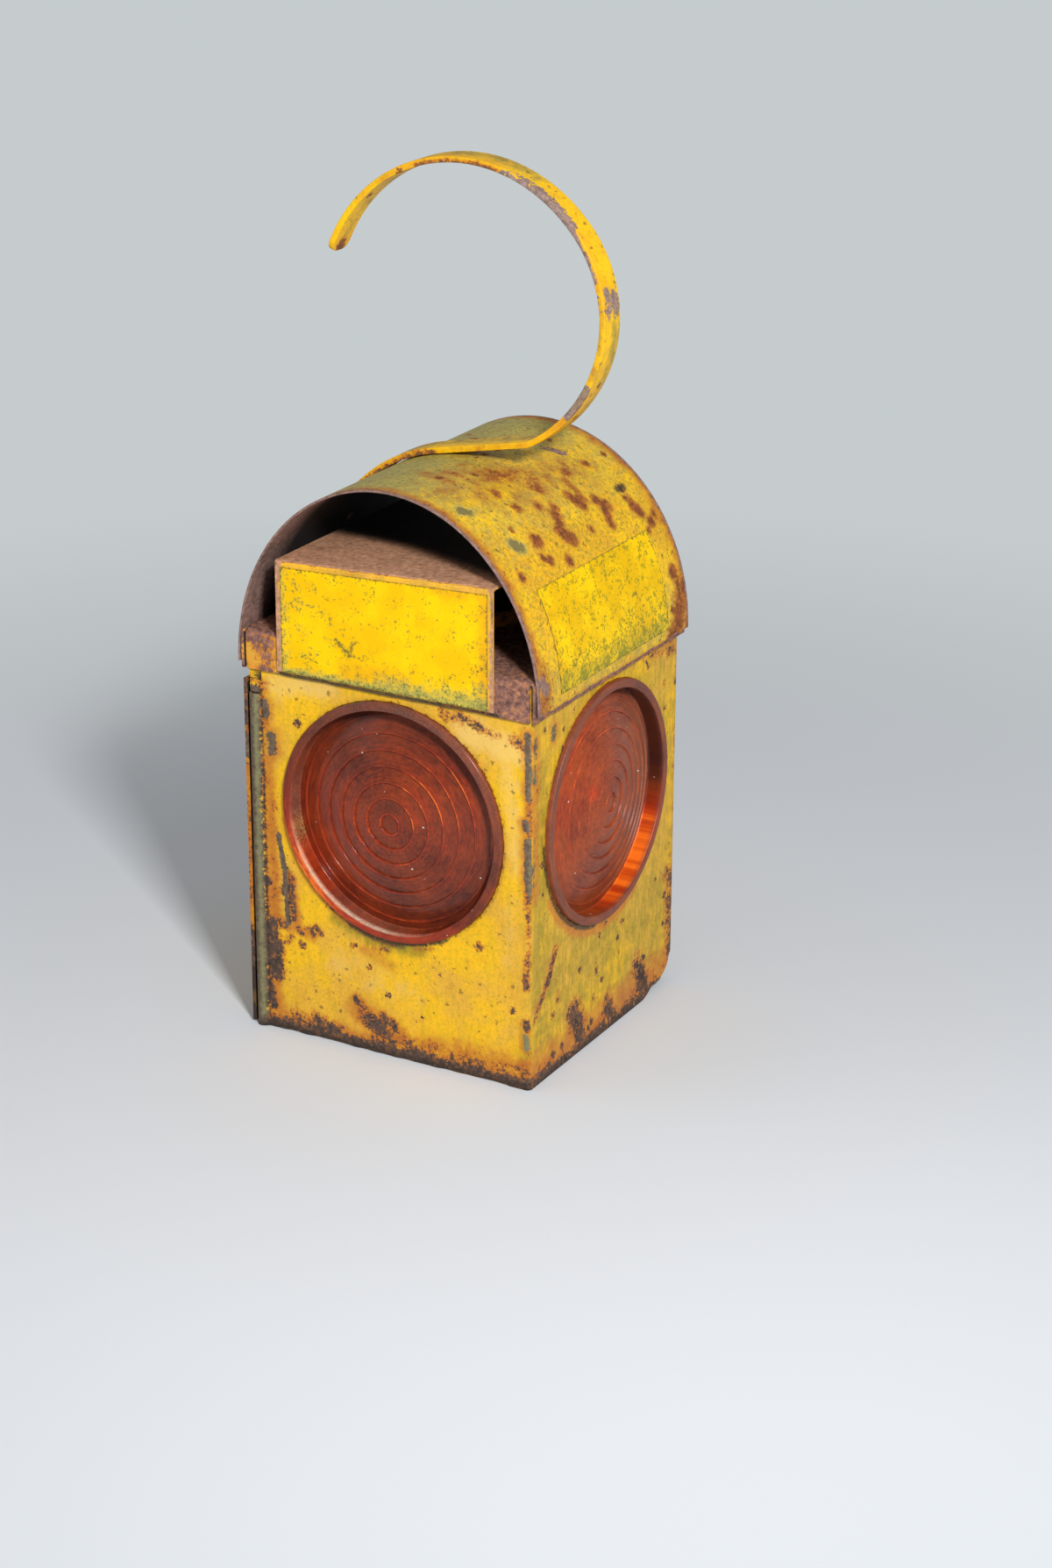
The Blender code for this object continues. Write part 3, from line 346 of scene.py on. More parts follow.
def surface(tree: Tree, height: Socket, looks: dict) -> None:
    """End a material with its relief and its surface.

    Args:
        tree: The material's nodes.
        height: The relief in metres.
        looks: The surface's inputs.
    """
    bump = add(tree, "Bump", {"Height": height, "Strength": 1.0, "Distance": 1.0})
    shader = add(tree, "BsdfPrincipled", {**looks, "Normal": bump})
    add(tree, "OutputMaterial", {"Surface": shader})


def specks(tree: Tree, place: Socket, ragged: Socket, spacing: float, largest: float) -> Socket:
    """Return a mask of scattered specks, most of them small.

    Args:
        tree: The material's nodes.
        place: Object coordinates.
        ragged: A fine pattern that breaks up their outlines.
        spacing: Millimetres between them.
        largest: Radius of the largest in millimetres.
    """
    share = largest / spacing
    cells = add(tree, "TexVoronoi", {"Vector": place, "Scale": per_mm(spacing)}, "Distance")
    chance = add(tree, "SeparateColor", {"Color": cells.node.outputs["Color"]})
    size = add(tree, "Math", {0: chance, 1: 2.5}, operation="POWER")
    size = add(tree, "Math", {0: size, 1: share}, operation="MULTIPLY")
    rough = add(tree, "Math", {0: ragged, 1: 0.9 * share, 2: cells}, operation="MULTIPLY_ADD")
    inside = add(tree, "Math", {0: size, 1: rough}, operation="SUBTRACT")
    return add(tree, "MapRange", {"Value": inside, "From Min": -0.45 * share, "From Max": -0.33 * share})


@dataclass(frozen=True)
class WeatheredEnamel:
    """Enamel brushed on steel sheet and left outdoors for decades.

    The eye gets a yellow that bleached unevenly and turned green where rain ran, a soft sheen where paint is
    left, and crisp-edged flakes whose brown rust sits lower than the paint and stains it orange around.
    """

    name: str
    bright: str = "#F3BA0A"
    dusty: str = "#E2AA34"
    streak: str = "#B09A1C"
    streaky: float = 0.3
    soil: str = "#9A8420"
    fleck: str = "#FFCB1E"
    mottle: float = 0.35
    cream: str = "#E8C068"
    run: float = 0.22
    algae: float = -0.05
    green: tuple[str, str] = ("#84751A", "#AE961E")
    stain: str = "#B8641A"
    rust: tuple[str, str, str] = ("#3F332C", "#604B40", "#A86426")
    crumbly: float = 0.05
    metal: tuple[str, str] = ("#4E4034", "#7A6652")
    tarnish: str = "#7E8058"
    sheen_roughness: float = 0.5
    paint_coat: float = 0.28

    def make(self) -> bpy.types.Material:
        """Build the shader.

        Returns:
            Its material.
        """
        material, tree, place = new_material(self.name)
        wear = {kind: add(tree, "Attribute", output="Fac", attribute_name=kind.value) for kind in Wear}
        broad = add(tree, "TexNoise", {"Vector": place, "Scale": per_mm(34), "Detail": 4.0,
                                       "Roughness": 0.55})
        patchy, fine, scale = [
            add(tree, "TexNoise", {"Vector": place, "W": seed, "Scale": per_mm(size), "Detail": detail,
                                   "Roughness": rough}, noise_dimensions="4D")
            for size, seed, detail, rough in ((6.5, 3, 6, 0.62), (1.5, 7, 4, 0.65), (2.4, 5, 7, 0.7))]
        rain = add(tree, "Mapping", {"Vector": place, "Scale": (1.0, 1.0, self.run)})
        streaks = add(tree, "TexNoise", {"Vector": rain, "Scale": per_mm(2.8), "Detail": 5.0,
                                         "Roughness": 0.7})
        jitter = add(tree, "VectorMath", {0: fine.node.outputs["Color"], 1: (0.5, 0.5, 0.5)},
                     operation="SUBTRACT")
        jagged = add(tree, "VectorMath", {0: jitter, 1: (6 * MM, 6 * MM, 6 * MM), 2: place},
                     operation="MULTIPLY_ADD")
        flakes = ((patchy, 1.3), (fine, 1.5), (specks(tree, jagged, patchy, 10.0, 3.0), 0.62))
        chipped = broken(tree, wear[Wear.RUST], flakes, 1.95 - self.crumbly / 2, 1.95 + self.crumbly)
        bare = broken(tree, wear[Wear.BARE], ((patchy, 1.0), (fine, 1.3)), 1.64, 1.70)
        dots = add(tree, "Math", {0: specks(tree, jagged, fine, 3.6, 1.25), 1: 0.7}, operation="MULTIPLY")

        green = add(tree, "ValToRGB", {"Fac": fine}, stops=((0.38, self.green[0]), (0.6, self.green[1])))
        orange = add(tree, "ValToRGB", {"Fac": fine}, stops=((0.40, self.stain), (0.60, "#CC8A28")))
        rust = add(tree, "ValToRGB", {"Fac": scale},
                   stops=((0.38, self.rust[0]), (0.66, self.rust[2]), (0.53, self.rust[1])))
        metal = add(tree, "ValToRGB", {"Fac": scale}, stops=((0.34, self.metal[0]), (0.62, self.metal[1])))
        metal = layered(tree, metal, (broken(tree, wear[Wear.ALGAE], ((scale, 1.2),), 0.98, 1.42, 0.85),
                                      self.tarnish))
        colour = layered(
            tree, self.dusty,
            (broken(tree, broad, (), 0.40, 0.60, soft=True), self.bright),
            (broken(tree, streaks, (), 0.46, 0.66, self.streaky), self.streak),
            (broken(tree, fine, (), 0.50, 0.36, self.mottle), self.soil),
            (broken(tree, fine, (), 0.54, 0.68, self.mottle), self.fleck),
            (broken(tree, patchy, (), 0.54, 0.72, 0.2 + 0.5 * self.mottle), "#E09420"),
            (broken(tree, wear[Wear.DUST_AND_GLINT], ((patchy, 1.2),), 0.75, 1.35, 0.8, True), self.cream),
            (broken(tree, wear[Wear.ALGAE], ((patchy, 1.5), (streaks, 1.3), (fine, 0.8)), 1.86 - self.algae,
                    2.84 - self.algae, 0.95, True), green),
            (dots, "#6E5226"),
            (broken(tree, wear[Wear.STAIN], ((fine, 0.8), (patchy, 1.0)), 1.05, 1.65, 0.9, True), orange),
            (broken(tree, wear[Wear.RUST], flakes, 1.58, 1.96, 0.8, True), self.stain),
            (chipped, rust),
            (bare, metal),
            (broken(tree, wear[Wear.GRIME_AND_SHADE], ((fine, 1.4),), 1.02, 1.42, 0.88), "#352C25"),
            # Near-black where sooty, and painted shade: the dark insides and the hood's shadow on the
            # baffle's top.
            (wear[Wear.SOOT_AND_SHADE], "#17120F"))

        gone = add(tree, "Math", {0: chipped, 1: bare}, operation="MAXIMUM")
        matt = add(tree, "Math", {0: gone, 1: wear[Wear.SOOT_AND_SHADE]}, operation="MAXIMUM")
        roughness = add(tree, "Math", {0: matt, 1: 0.4, 2: self.sheen_roughness}, operation="MULTIPLY_ADD")
        dented = add(tree, "TexNoise", {"Vector": place, "Scale": per_mm(46), "Detail": 1.0})
        height = add(tree, "Math", {0: dented, 1: 3.0 * MM}, operation="MULTIPLY")
        pits = add(tree, "Math", {0: scale, 1: gone}, operation="MULTIPLY")
        for pattern, depth in ((streaks, 0.12), (gone, -self.paint_coat), (pits, 0.6)):
            height = add(tree, "Math", {0: pattern, 1: depth * MM, 2: height}, operation="MULTIPLY_ADD")
        surface(tree, height, {"Base Color": colour, "Roughness": roughness, "IOR": 1.5,
                               "Specular IOR Level": 0.3})
        return material


@dataclass(frozen=True)
class ReflectiveFilm:
    """Adhesive reflective film: embossed clear plastic over a saturated yellow backing.

    It has kept its colour far better than the paint, so it reads brighter and smoother, with dirt only in the
    small nicks of its face and along its cut edges.
    """

    name: str
    bright: str = "#FFCE00"
    deep: str = "#F4BE00"
    nick: str = "#7C7A30"
    moss: str = "#9A9C58"
    nicked: float = 0.0

    def make(self) -> bpy.types.Material:
        """Build the shader.

        Returns:
            Its material.
        """
        material, tree, place = new_material(self.name)
        algae, grime_and_shade, rust = (add(tree, "Attribute", output="Fac", attribute_name=kind.value)
                              for kind in (Wear.ALGAE, Wear.GRIME_AND_SHADE, Wear.RUST))
        broad = add(tree, "TexNoise", {"Vector": place, "Scale": per_mm(20), "Detail": 5.0, "Roughness": 0.6})
        patchy, fine, smudge = [
            add(tree, "TexNoise", {"Vector": place, "W": seed, "Scale": per_mm(size), "Detail": detail,
                                   "Roughness": rough}, noise_dimensions="4D")
            for size, seed, detail, rough in ((5.0, 3, 6, 0.62), (1.3, 7, 4, 0.62), (3.0, 9, 7, 0.7))]
        spots = broken(tree, fine, ((patchy, 0.55), (algae, 0.10)), 0.885 - self.nicked, 0.965 - self.nicked,
                     0.75)
        smudge = broken(tree, smudge, (), 0.64, 0.72, 0.75)
        nicks = add(tree, "Math", {0: spots, 1: smudge}, operation="MAXIMUM")
        colour = layered(tree, self.deep,
                         (broken(tree, broad, (), 0.42, 0.60), self.bright),
                         (broken(tree, rust, ((patchy, 1.2),), 0.72, 1.45, 0.65), "#D9901A"),
                         (broken(tree, algae, ((patchy, 1.4), (fine, 1.2)), 1.58, 2.10, 0.85), self.moss),
                         (nicks, self.nick),
                         (broken(tree, grime_and_shade, ((fine, 1.6),), 1.20, 1.50, 0.8), "#5E5E30"))
        height = add(tree, "Math", {0: patchy, 1: 0.25 * MM}, operation="MULTIPLY")
        height = add(tree, "Math", {0: nicks, 1: -0.10 * MM, 2: height}, operation="MULTIPLY_ADD")
        surface(tree, height, {"Base Color": colour, "Roughness": 0.42, "IOR": 1.49,
                               "Specular IOR Level": 0.12})
        return material


@dataclass(frozen=True)
class RedAcrylic:
    """Moulded red acrylic over a dark lamp.

    The thick parts look deep brown-red; thin steps and lit sides are painted glowing orange as if lit
    through, which is painted light. Dusting greys what faces up, and the smooth moulded face keeps a clear
    narrow highlight.
    """

    name: str
    deep: str = "#56190C"
    warm: str = "#92360F"
    painted_glow: tuple[str, str] = ("#CC2C06", "#F8741A")
    dust_and_glint: str = "#C8B49A"
    polish: float = 0.19

    def make(self) -> bpy.types.Material:
        """Build the shader.

        Returns:
            Its material.
        """
        material, tree, place = new_material(self.name)
        algae, grime_and_shade, dust_and_glint, painted_glow = (add(tree, "Attribute", output="Fac", attribute_name=kind.value)
                                    for kind in (Wear.ALGAE, Wear.GRIME_AND_SHADE, Wear.DUST_AND_GLINT, Wear.GLOW))
        broad = add(tree, "TexNoise", {"Vector": place, "Scale": per_mm(20), "Detail": 7.0, "Roughness": 0.6})
        fine = add(tree, "TexNoise", {"Vector": place, "W": 7.0, "Scale": per_mm(0.9), "Detail": 4.0},
                   noise_dimensions="4D")
        turned = add(tree, "Attribute", output="Vector", attribute_name="turned")
        swirl = add(tree, "TexNoise", {"Vector": turned, "Scale": per_mm(1.5), "Detail": 5.0,
                                       "Roughness": 0.68})
        # Painted light: where the field read above is high, the acrylic is painted glowing orange.
        lit = add(tree, "MapRange", {"Value": swirl, "From Min": 0.38, "From Max": 0.60, "To Min": 0.55,
                                     "To Max": 1.15})
        lit = add(tree, "Math", {0: lit, 1: painted_glow}, operation="MULTIPLY", use_clamp=True)
        painted_glow_colour = add(tree, "ValToRGB", {"Fac": lit}, stops=((0.45, self.painted_glow[0]), (1.0, self.painted_glow[1])))
        # Darkens by the field read above: on the lenses it is painted shade in the wells and towards the top,
        # with some dirt.
        smoke_and_shade = add(tree, "Math", {0: grime_and_shade, 1: 0.85}, operation="MULTIPLY")
        powder = add(tree, "MapRange", {"Value": fine, "From Min": 0.35, "From Max": 0.65, "To Min": 0.35,
                                        "To Max": 1.0})
        powder = add(tree, "Math", {0: powder, 1: dust_and_glint}, operation="MULTIPLY")
        colour = layered(tree, self.deep,
                         (broken(tree, broad, ((swirl, 1.0),), 0.78, 1.24), self.warm),
                         (lit, painted_glow_colour),
                         (smoke_and_shade, "#2E1512"),
                         (broken(tree, algae, ((fine, 1.2),), 1.0, 1.3, 0.8), "#8C8A46"),
                         (powder, self.dust_and_glint),
                         (specks(tree, place, fine, 7.0, 0.6), "#C9BDB4"))
        roughness = add(tree, "Math", {0: powder, 1: 0.4, 2: self.polish}, operation="MULTIPLY_ADD")
        height = add(tree, "Math", {0: fine, 1: 0.02 * MM}, operation="MULTIPLY")
        surface(tree, height, {"Base Color": colour, "Roughness": roughness, "IOR": 1.49,
                               "Specular IOR Level": 0.3, "Subsurface Weight": 0.12,
                               "Subsurface Scale": 1.5 * MM, "Subsurface Radius": (1.0, 0.25, 0.1)})
        return material


@dataclass(frozen=True)
class OxidisedMetal:
    """Bare metal or cloth under years of air and lamp fumes: broken colour, dull all over and slightly
    pitted.
    """

    name: str
    low: str
    high: str
    metallic: float
    roughness: float
    size: float = 3.0
    pits: float = 0.3

    def make(self) -> bpy.types.Material:
        """Build the shader.

        Returns:
            Its material.
        """
        material, tree, place = new_material(self.name)
        mottled = add(tree, "TexNoise", {"Vector": place, "Scale": per_mm(self.size), "Detail": 6.0,
                                        "Roughness": 0.65})
        colour = add(tree, "ValToRGB", {"Fac": mottled}, stops=((0.36, self.low), (0.64, self.high)))
        height = add(tree, "Math", {0: mottled, 1: self.pits * MM}, operation="MULTIPLY")
        surface(tree, height, {"Base Color": colour, "Roughness": self.roughness,
                               "Metallic": self.metallic})
        return material


class Finishes:
    """Every material of the lantern, each made once."""

    def __init__(self) -> None:
        """Make the materials."""
        self.enamel = WeatheredEnamel("brushed_yellow_enamel").make()
        self.hood_enamel = WeatheredEnamel(
            "bleached_yellow_enamel", bright="#F6C006", dusty="#E2A814", streaky=0.35, mottle=0.8, run=0.45,
            algae=0.10, soil="#8C7E2A", green=("#857E40", "#BBAC56"), tarnish="#7C7438", crumbly=0.22,
            stain="#B06A1E", rust=("#65391F", "#8A4C24", "#B4682A"), metal=("#664A40", "#A07E72")).make()
        self.lid_enamel = WeatheredEnamel(
            "flaking_orange_enamel", bright="#EE9C28", dusty="#DC8A34", mottle=0.6, cream="#E2A83A",
            rust=("#5E4038", "#94685A", "#D08A4A"), metal=("#664840", "#967066")).make()
        self.baffle_enamel = WeatheredEnamel(
            "yellow_enamel_over_brown_rust", bright="#F4B62A", dusty="#E8AC40",
            metal=("#96684A", "#D8A27E")).make()
        self.strap_enamel = WeatheredEnamel(
            "thick_yellow_enamel", bright="#FCC404", dusty="#F2B20C", streaky=0.15, algae=-0.12,
            metal=("#6A5448", "#A88C82"), green=("#7E7634", "#A08E40"), tarnish="#86764A",
            rust=("#5E4030", "#8E5A2E", "#C07A26")).make()
        self.film = {"front": ReflectiveFilm("yellow_reflective_film", nicked=0.015).make(),
                     "hood": ReflectiveFilm("soiled_reflective_film", bright="#FACA00", deep="#E6B400",
                                            nick="#86801E", moss="#98943A", nicked=0.075).make()}
        self.acrylic = {"front": RedAcrylic("moulded_red_acrylic").make(),
                        "right": RedAcrylic("sunlit_red_acrylic", deep="#6E250F", warm="#A84A18",
                                            dust_and_glint="#9A7C68", polish=0.36).make()}
        self.rust = OxidisedMetal("rusted_steel_sheet", "#3A2720", "#7B5140", 0.1, 0.85).make()
        self.wire = OxidisedMetal("oxidised_steel_wire", "#4E403A", "#7E6C5C", 0.4, 0.6).make()
        self.tinplate = OxidisedMetal("dull_tinplate", "#6E6A64", "#9A958C", 0.9, 0.5, 12.0, 0.05).make()
        self.brass = OxidisedMetal("tarnished_brass", "#5E4A26", "#A5854A", 0.9, 0.45, 8.0, 0.05).make()
        self.cotton = OxidisedMetal("woven_cotton", "#8F8672", "#C4BBA6", 0.0, 0.95, 1.2, 0.3).make()


def new_piece(name: str, mesh: bmesh.types.BMesh, material: bpy.types.Material, body: str,
              replaces: Sequence[str] = (), smooth: float = 40.0) -> bpy.types.Object:
    """Turn a mesh into a named piece that rides on a body.

    Args:
        name: The piece's name.
        mesh: Its shape, freed here.
        material: Its finish.
        body: The frame's body that carries it.
        replaces: Frame nodes that it stands for.
        smooth: Edges sharper than this many degrees stay sharp.

    Returns:
        The new object.
    """
    data = bpy.data.meshes.new(name)
    mesh.to_mesh(data)
    mesh.free()
    thing = bpy.data.objects.new(name, data)
    bpy.context.scene.collection.objects.link(thing)
    data.shade_smooth()
    data.set_sharp_from_angle(angle=math.radians(smooth))
    data.materials.append(material)
    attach(thing, body)
    if replaces:
        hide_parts(*replaces)
    LOG.info("piece %s: %d faces", name, len(data.polygons))
    return thing


def fine_copy(node: str, pitch: float) -> bmesh.types.BMesh:
    """Copy a frame node's mesh and cut it by planes, so that it has points for wear.

    Args:
        node: The frame node.
        pitch: The spacing of the planes in metres.

    Returns:
        The cut mesh.
    """
    mesh = bmesh.new()
    mesh.from_mesh(frame["nodes"][node].data)
    bmesh.ops.remove_doubles(mesh, verts=mesh.verts, dist=0.01 * MM)
    low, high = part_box(node)
    for axis in range(3):
        normal = Vector((axis == 0, axis == 1, axis == 2))
        count = max(1, round((high[axis] - low[axis]) / pitch))
        for index in range(1, count):
            place = Vector(low)
            place[axis] = low[axis] + (high[axis] - low[axis]) * index / count
            everything = mesh.verts[:] + mesh.edges[:] + mesh.faces[:]
            bmesh.ops.bisect_plane(mesh, geom=everything, plane_co=place, plane_no=normal, dist=1e-6)
    mesh.normal_update()
    return mesh


def thick_sheet(rows: Sequence[Sequence[tuple[Vector, Vector]]]) -> bmesh.types.BMesh:
    """Make a closed sheet from rows of its outer and inner points.

    Args:
        rows: The pairs of points, as many in every row.

    Returns:
        The sheet's mesh.
    """
    mesh = bmesh.new()
    made = [[(mesh.verts.new(outer), mesh.verts.new(inner)) for outer, inner in row] for row in rows]
    last_row, last_place = len(made) - 1, len(made[0]) - 1
    for row in range(last_row):
        for place in range(last_place):
            corners = (made[row][place], made[row][place + 1], made[row + 1][place + 1], made[row + 1][place])
            mesh.faces.new([outer for outer, inner in corners])
            mesh.faces.new([inner for outer, inner in reversed(corners)])
    for row in range(last_row):
        for place in (0, last_place):
            mesh.faces.new((*made[row][place], *reversed(made[row + 1][place])))
    for place in range(last_place):
        for row in (0, last_row):
            mesh.faces.new((*made[row][place], *reversed(made[row][place + 1])))
    bmesh.ops.recalc_face_normals(mesh, faces=mesh.faces)
    mesh.normal_update()
    return mesh


@dataclass
class Walls:
    """The folded body sheet with its wired edge, rusted along the bottom and peeling at the folds.

    Each row of rims is one call of round_lens, and right_rim is the plane of those on the right wall.
    """

    pitch: float = 1.6 * MM
    eaten: float = 1.4 * MM
    tab_low: Point = (-77.0, -75.0, 183.2)
    tab_high: Point = (-70.4, -73.8, 192.0)
    marks: tuple[Mark, ...] = (
        *lay({
            Wear.BARE: (
                (-65.6, 155, -65.2, 148.5, 6.5, 0.95), (-68.6, 172, -68.4, 166, 4.5, 0.95),
                (-62.9, 104, -60, 88, 3.4, 0.95), (-59.6, 88, -58.4, 58, 3, 0.98),
                (76, 182, 76.6, 160, 4, 0.95), (76.5, 157, 76.4, 150, 3.4, 0.8),
                (75.2, 138.2, 75.4, 135, 4, 0.95), (76.6, 129, 77, 104, 4.6, 0.95),
                (76, 28, 76.5, 22, 3.6, 0.95)),
            Wear.STAIN: (
                (-65.6, 155, -65.2, 148.5, 14.3, 0.75), (-68.6, 172, -68.4, 166, 9.9, 0.75),
                (-70, 182, -66, 146, 9, 0.6), (-67.5, 143, -66, 60, 9, 0.72),
                (-57.5, 84, -53.6, 58, 8, 0.8), (-60, 58, -44, 54, 8, 0.6), (-68, 26, -64, 10, 9, 0.7),
                (-14, 54, 2, 48, 8, 0.5), (-75, 4, 78, 5, 14, 0.65), (76, 160, 76.5, 100, 6, 0.6),
                (-16, 20, 4, 10, 18, 0.75), (20, 10, 78, 12, 16, 0.6), (76, 182, 76.6, 160, 8.8, 0.75),
                (76.5, 157, 76.4, 150, 7.48, 0.75), (75.2, 138.2, 75.4, 135, 8.8, 0.75),
                (76.6, 129, 77, 104, 10.12, 0.75), (76, 28, 76.5, 22, 7.92, 0.75)),
            Wear.RUST: (
                (-71, 182, -70, 160, 7, 0.6), (-67, 143, -65.5, 60, 7, 0.34),
                (-70.5, 143, -70.5, 60, 3.2, 0.6), (-66.5, 128, -65, 118, 6, 0.42),
                (-66, 84, -64, 70, 6, 0.42), (-56.5, 84, -54.6, 62, 4.4, 0.72),
                (-63, 58.5, -58, 56, 5, 0.6), (-68.5, 55, -66.5, 30, 10, 1), (-64, 45, -64, 34, 6, 0.85),
                (-70, 24, -68, 12, 6, 0.7), (-52, 56.4, -50.6, 54.6, 4.4, 0.7),
                (-46.5, 57.6, -44, 55.6, 5, 0.7), (-42, 60, -39.6, 56.5, 3.6, 0.7),
                (-60, 48, -56, 52, 5, 0.6), (-8, 56.5, -2, 55, 6, 0.42), (16, 60.8, 23, 62.5, 5, 0.45),
                (-56, 7, -30, 5, 12, 0.62), (-42, 9, -34, 6, 9, 0.8), (-20, 26, -12, 21, 6, 0.66),
                (-14, 18, -2, 12, 10, 0.8), (-4, 20, 2, 16, 7, 0.8), (0, 8, 14, 8, 12, 0.62),
                (20, 8, 78, 9, 12, 0.5), (52, 16, 62, 13, 9, 0.36), (-75, 1, 78, 1, 11.5, 1),
                (77.5, 150, 77, 66, 5.5, 0.55), (75.7, 60, 75.7, 54, 4.6, 0.85),
                (76.5, 36, 76.5, 32, 4.2, 0.8), (30.5, 184.5, 60, 178.5, 6, 0.5),
                (40, 185.5, 55, 179.5, 4.4, 0.72), (76, 176, 70, 178, 8, 0.6)),
            Wear.GRIME_AND_SHADE: (
                (-57.9, 88, -56.9, 60, 2.4, 0.7), (-75, 0, 78, 0, 8, 0.75), (45, 182, 50, 180.5, 3.4, 0.7)),
            Wear.DUST_AND_GLINT: (
                (44, 178, 72, 172, 16, 0.8), (66, 168, 70, 116, 13, 0.5), (68, 108, 66, 66, 12, 0.3),
                (-64, 182, -34, 186, 15, 0.6), (-30, 44, 10, 36, 22, 0.35)),
            Wear.ALGAE: ((76, 28, 76.5, 8, 8, 0.9),)
        }, FRONT),
        *lay({
            Wear.BARE: ((-74.5, -76, 0, -74.5, -76, 177, 7.2, 1),),
            Wear.ALGAE: (
                (-72.9, -77, 6, -72.9, -77, 176, 3.6, 0.76), (0, 75.5, 150, 10, 75.5, 60, 110, 0.5)),
            # A dark line in the crease beside the wired edge: painted shade, with some dirt.
            Wear.GRIME_AND_SHADE: ((-71, -74.4, 0, -71, -74.4, 178, 2.6, 0.9),),
            Wear.RUST: (
                (-77, -75, 183, -71, -75, 183, 5, 0.45), (-76, 75.5, 0, 78, 75.5, 0, 22, 1),
                (-74, 75.5, 40, -73, 75.5, 150, 9, 0.55), (20, 75.5, 90, 34, 75.5, 70, 34, 0.34))
        }),
        *lay({
            Wear.ALGAE: (
                (-60, 150, 60, 150, 190, 0.54), (-60, 40, 60, 40, 110, 0.66), (-66, 160, -66, 30, 22, 0.8)),
            Wear.BARE: (
                (-53.2, 179, -54, 174, 6.5, 0.9), (-70.5, 178, -71.5, 158, 5.5, 0.9),
                (-71.9, 129, -72.6, 106, 5, 0.9)),
            Wear.STAIN: (
                (-53.2, 179, -54, 174, 11, 0.7), (-70.5, 178, -71.5, 100, 10.5, 0.7),
                (-50.3, 65.4, -69.9, 38.1, 9, 0.5), (-75, 8, 75, 12, 22, 0.7)),
            Wear.RUST: (
                (-50.3, 65.4, -55, 54, 5.6, 0.95), (-56, 53, -69.9, 36.1, 5.6, 0.95),
                (-47.2, 40, -48, 35.5, 5, 0.9), (-31, 24, -24, 8, 15, 0.8), (3, 13, 10, 6, 13, 0.75),
                (36, 22, 42, 10, 14, 0.85), (-75, 0, 75, 0, 13, 1), (-75, 6, 75, 8, 14, 0.42),
                (72, 60, 74, 10, 17, 0.66), (74, 180, 74, 60, 6, 0.5), (40, 188, 70, 182, 9, 0.6)),
            Wear.GRIME_AND_SHADE: (
                (-30, 19, -27, 10, 7, 0.75), (38, 19, 41, 13, 7, 0.75), (-75, 0, 75, 0, 7, 0.8))
        }, RIGHT))
    right_rim: float = 78.2
    rims: tuple[tuple, ...] = (
        (FRONT, Wear.GRIME_AND_SHADE, -112, -86, 63.2, 5, 0.75), (FRONT, Wear.GRIME_AND_SHADE, -130, -62, 62.2, 2.6, 0.8),
        (FRONT, Wear.ALGAE, -120, -76, 64, 9, 1), (FRONT, Wear.GRIME_AND_SHADE, -62, 20, 62, 2.2, 0.5),
        (FRONT, Wear.STAIN, -170, -90, 63, 5, 0.6), (RIGHT, Wear.GRIME_AND_SHADE, -178, -100, 62.4, 3, 0.9),
        (RIGHT, Wear.GRIME_AND_SHADE, 120, 180, 62, 2.2, 0.5), (RIGHT, Wear.STAIN, -150, -60, 64.5, 6, 0.8))

    def build(self, finishes: Finishes) -> None:
        """Make the walls.

        Args:
            finishes: The materials.
        """
        mesh = fine_copy("body_shell", self.pitch)
        for vert in mesh.verts:
            if vert.co.z < 0.5 * MM and vert.co.y < 0.0 and abs(vert.co.x) < 66 * MM:
                vert.co.z += self.eaten * max(0.0, 0.35 + noise.noise(vert.co / (9 * MM)))
        low, high = Vector(self.tab_low) * MM, Vector(self.tab_high) * MM
        stand = Matrix.Translation((low + high) / 2) @ Matrix.Diagonal((*(high - low), 1.0))
        bmesh.ops.create_cube(mesh, size=1.0, matrix=stand)
        piece = new_piece("walls", mesh, finishes.enamel, "lantern", ["body_shell"])
        worn = WearMap(piece)
        worn.mark(self.marks)
        worn.mark(mark for rim in self.rims for mark in self.round_lens(*rim))
        # Inner faces go near-black: sooty, and in painted shade.
        worn.inside((0, 0, 100), 0.85)
        worn.write()

    def round_lens(self, facing: Point, wear: Wear, start: float, end: float, radius: float, width: float,
                   strength: float) -> list[Mark]:
        """Return marks that follow a lens hole's edge.

        Args:
            facing: The wall's direction, which picks the lens.
            wear: The kind of wear.
            start: Degrees from the right, counter-clockwise as the lens is looked at.
            end: Degrees where it stops.
            radius: Millimetres from the lens's middle.
            width: The marks' width in millimetres.
            strength: The marks' strength.
        """
        low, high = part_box("lens_front" if facing == FRONT else "lens_right")
        middle = (low + high) / 2 / MM
        places = []
        for degrees in np.linspace(start, end, max(3, round(abs(end - start) / 8))):
            aside = radius * math.cos(math.radians(degrees))
            z = middle.z + radius * math.sin(math.radians(degrees))
            places.append((middle.x + aside, FRONT_FACE, z) if facing == FRONT
                          else (self.right_rim, middle.y + aside, z))
        return [Mark(wear, a, b, width, strength, facing) for a, b in zip(places, places[1:])]


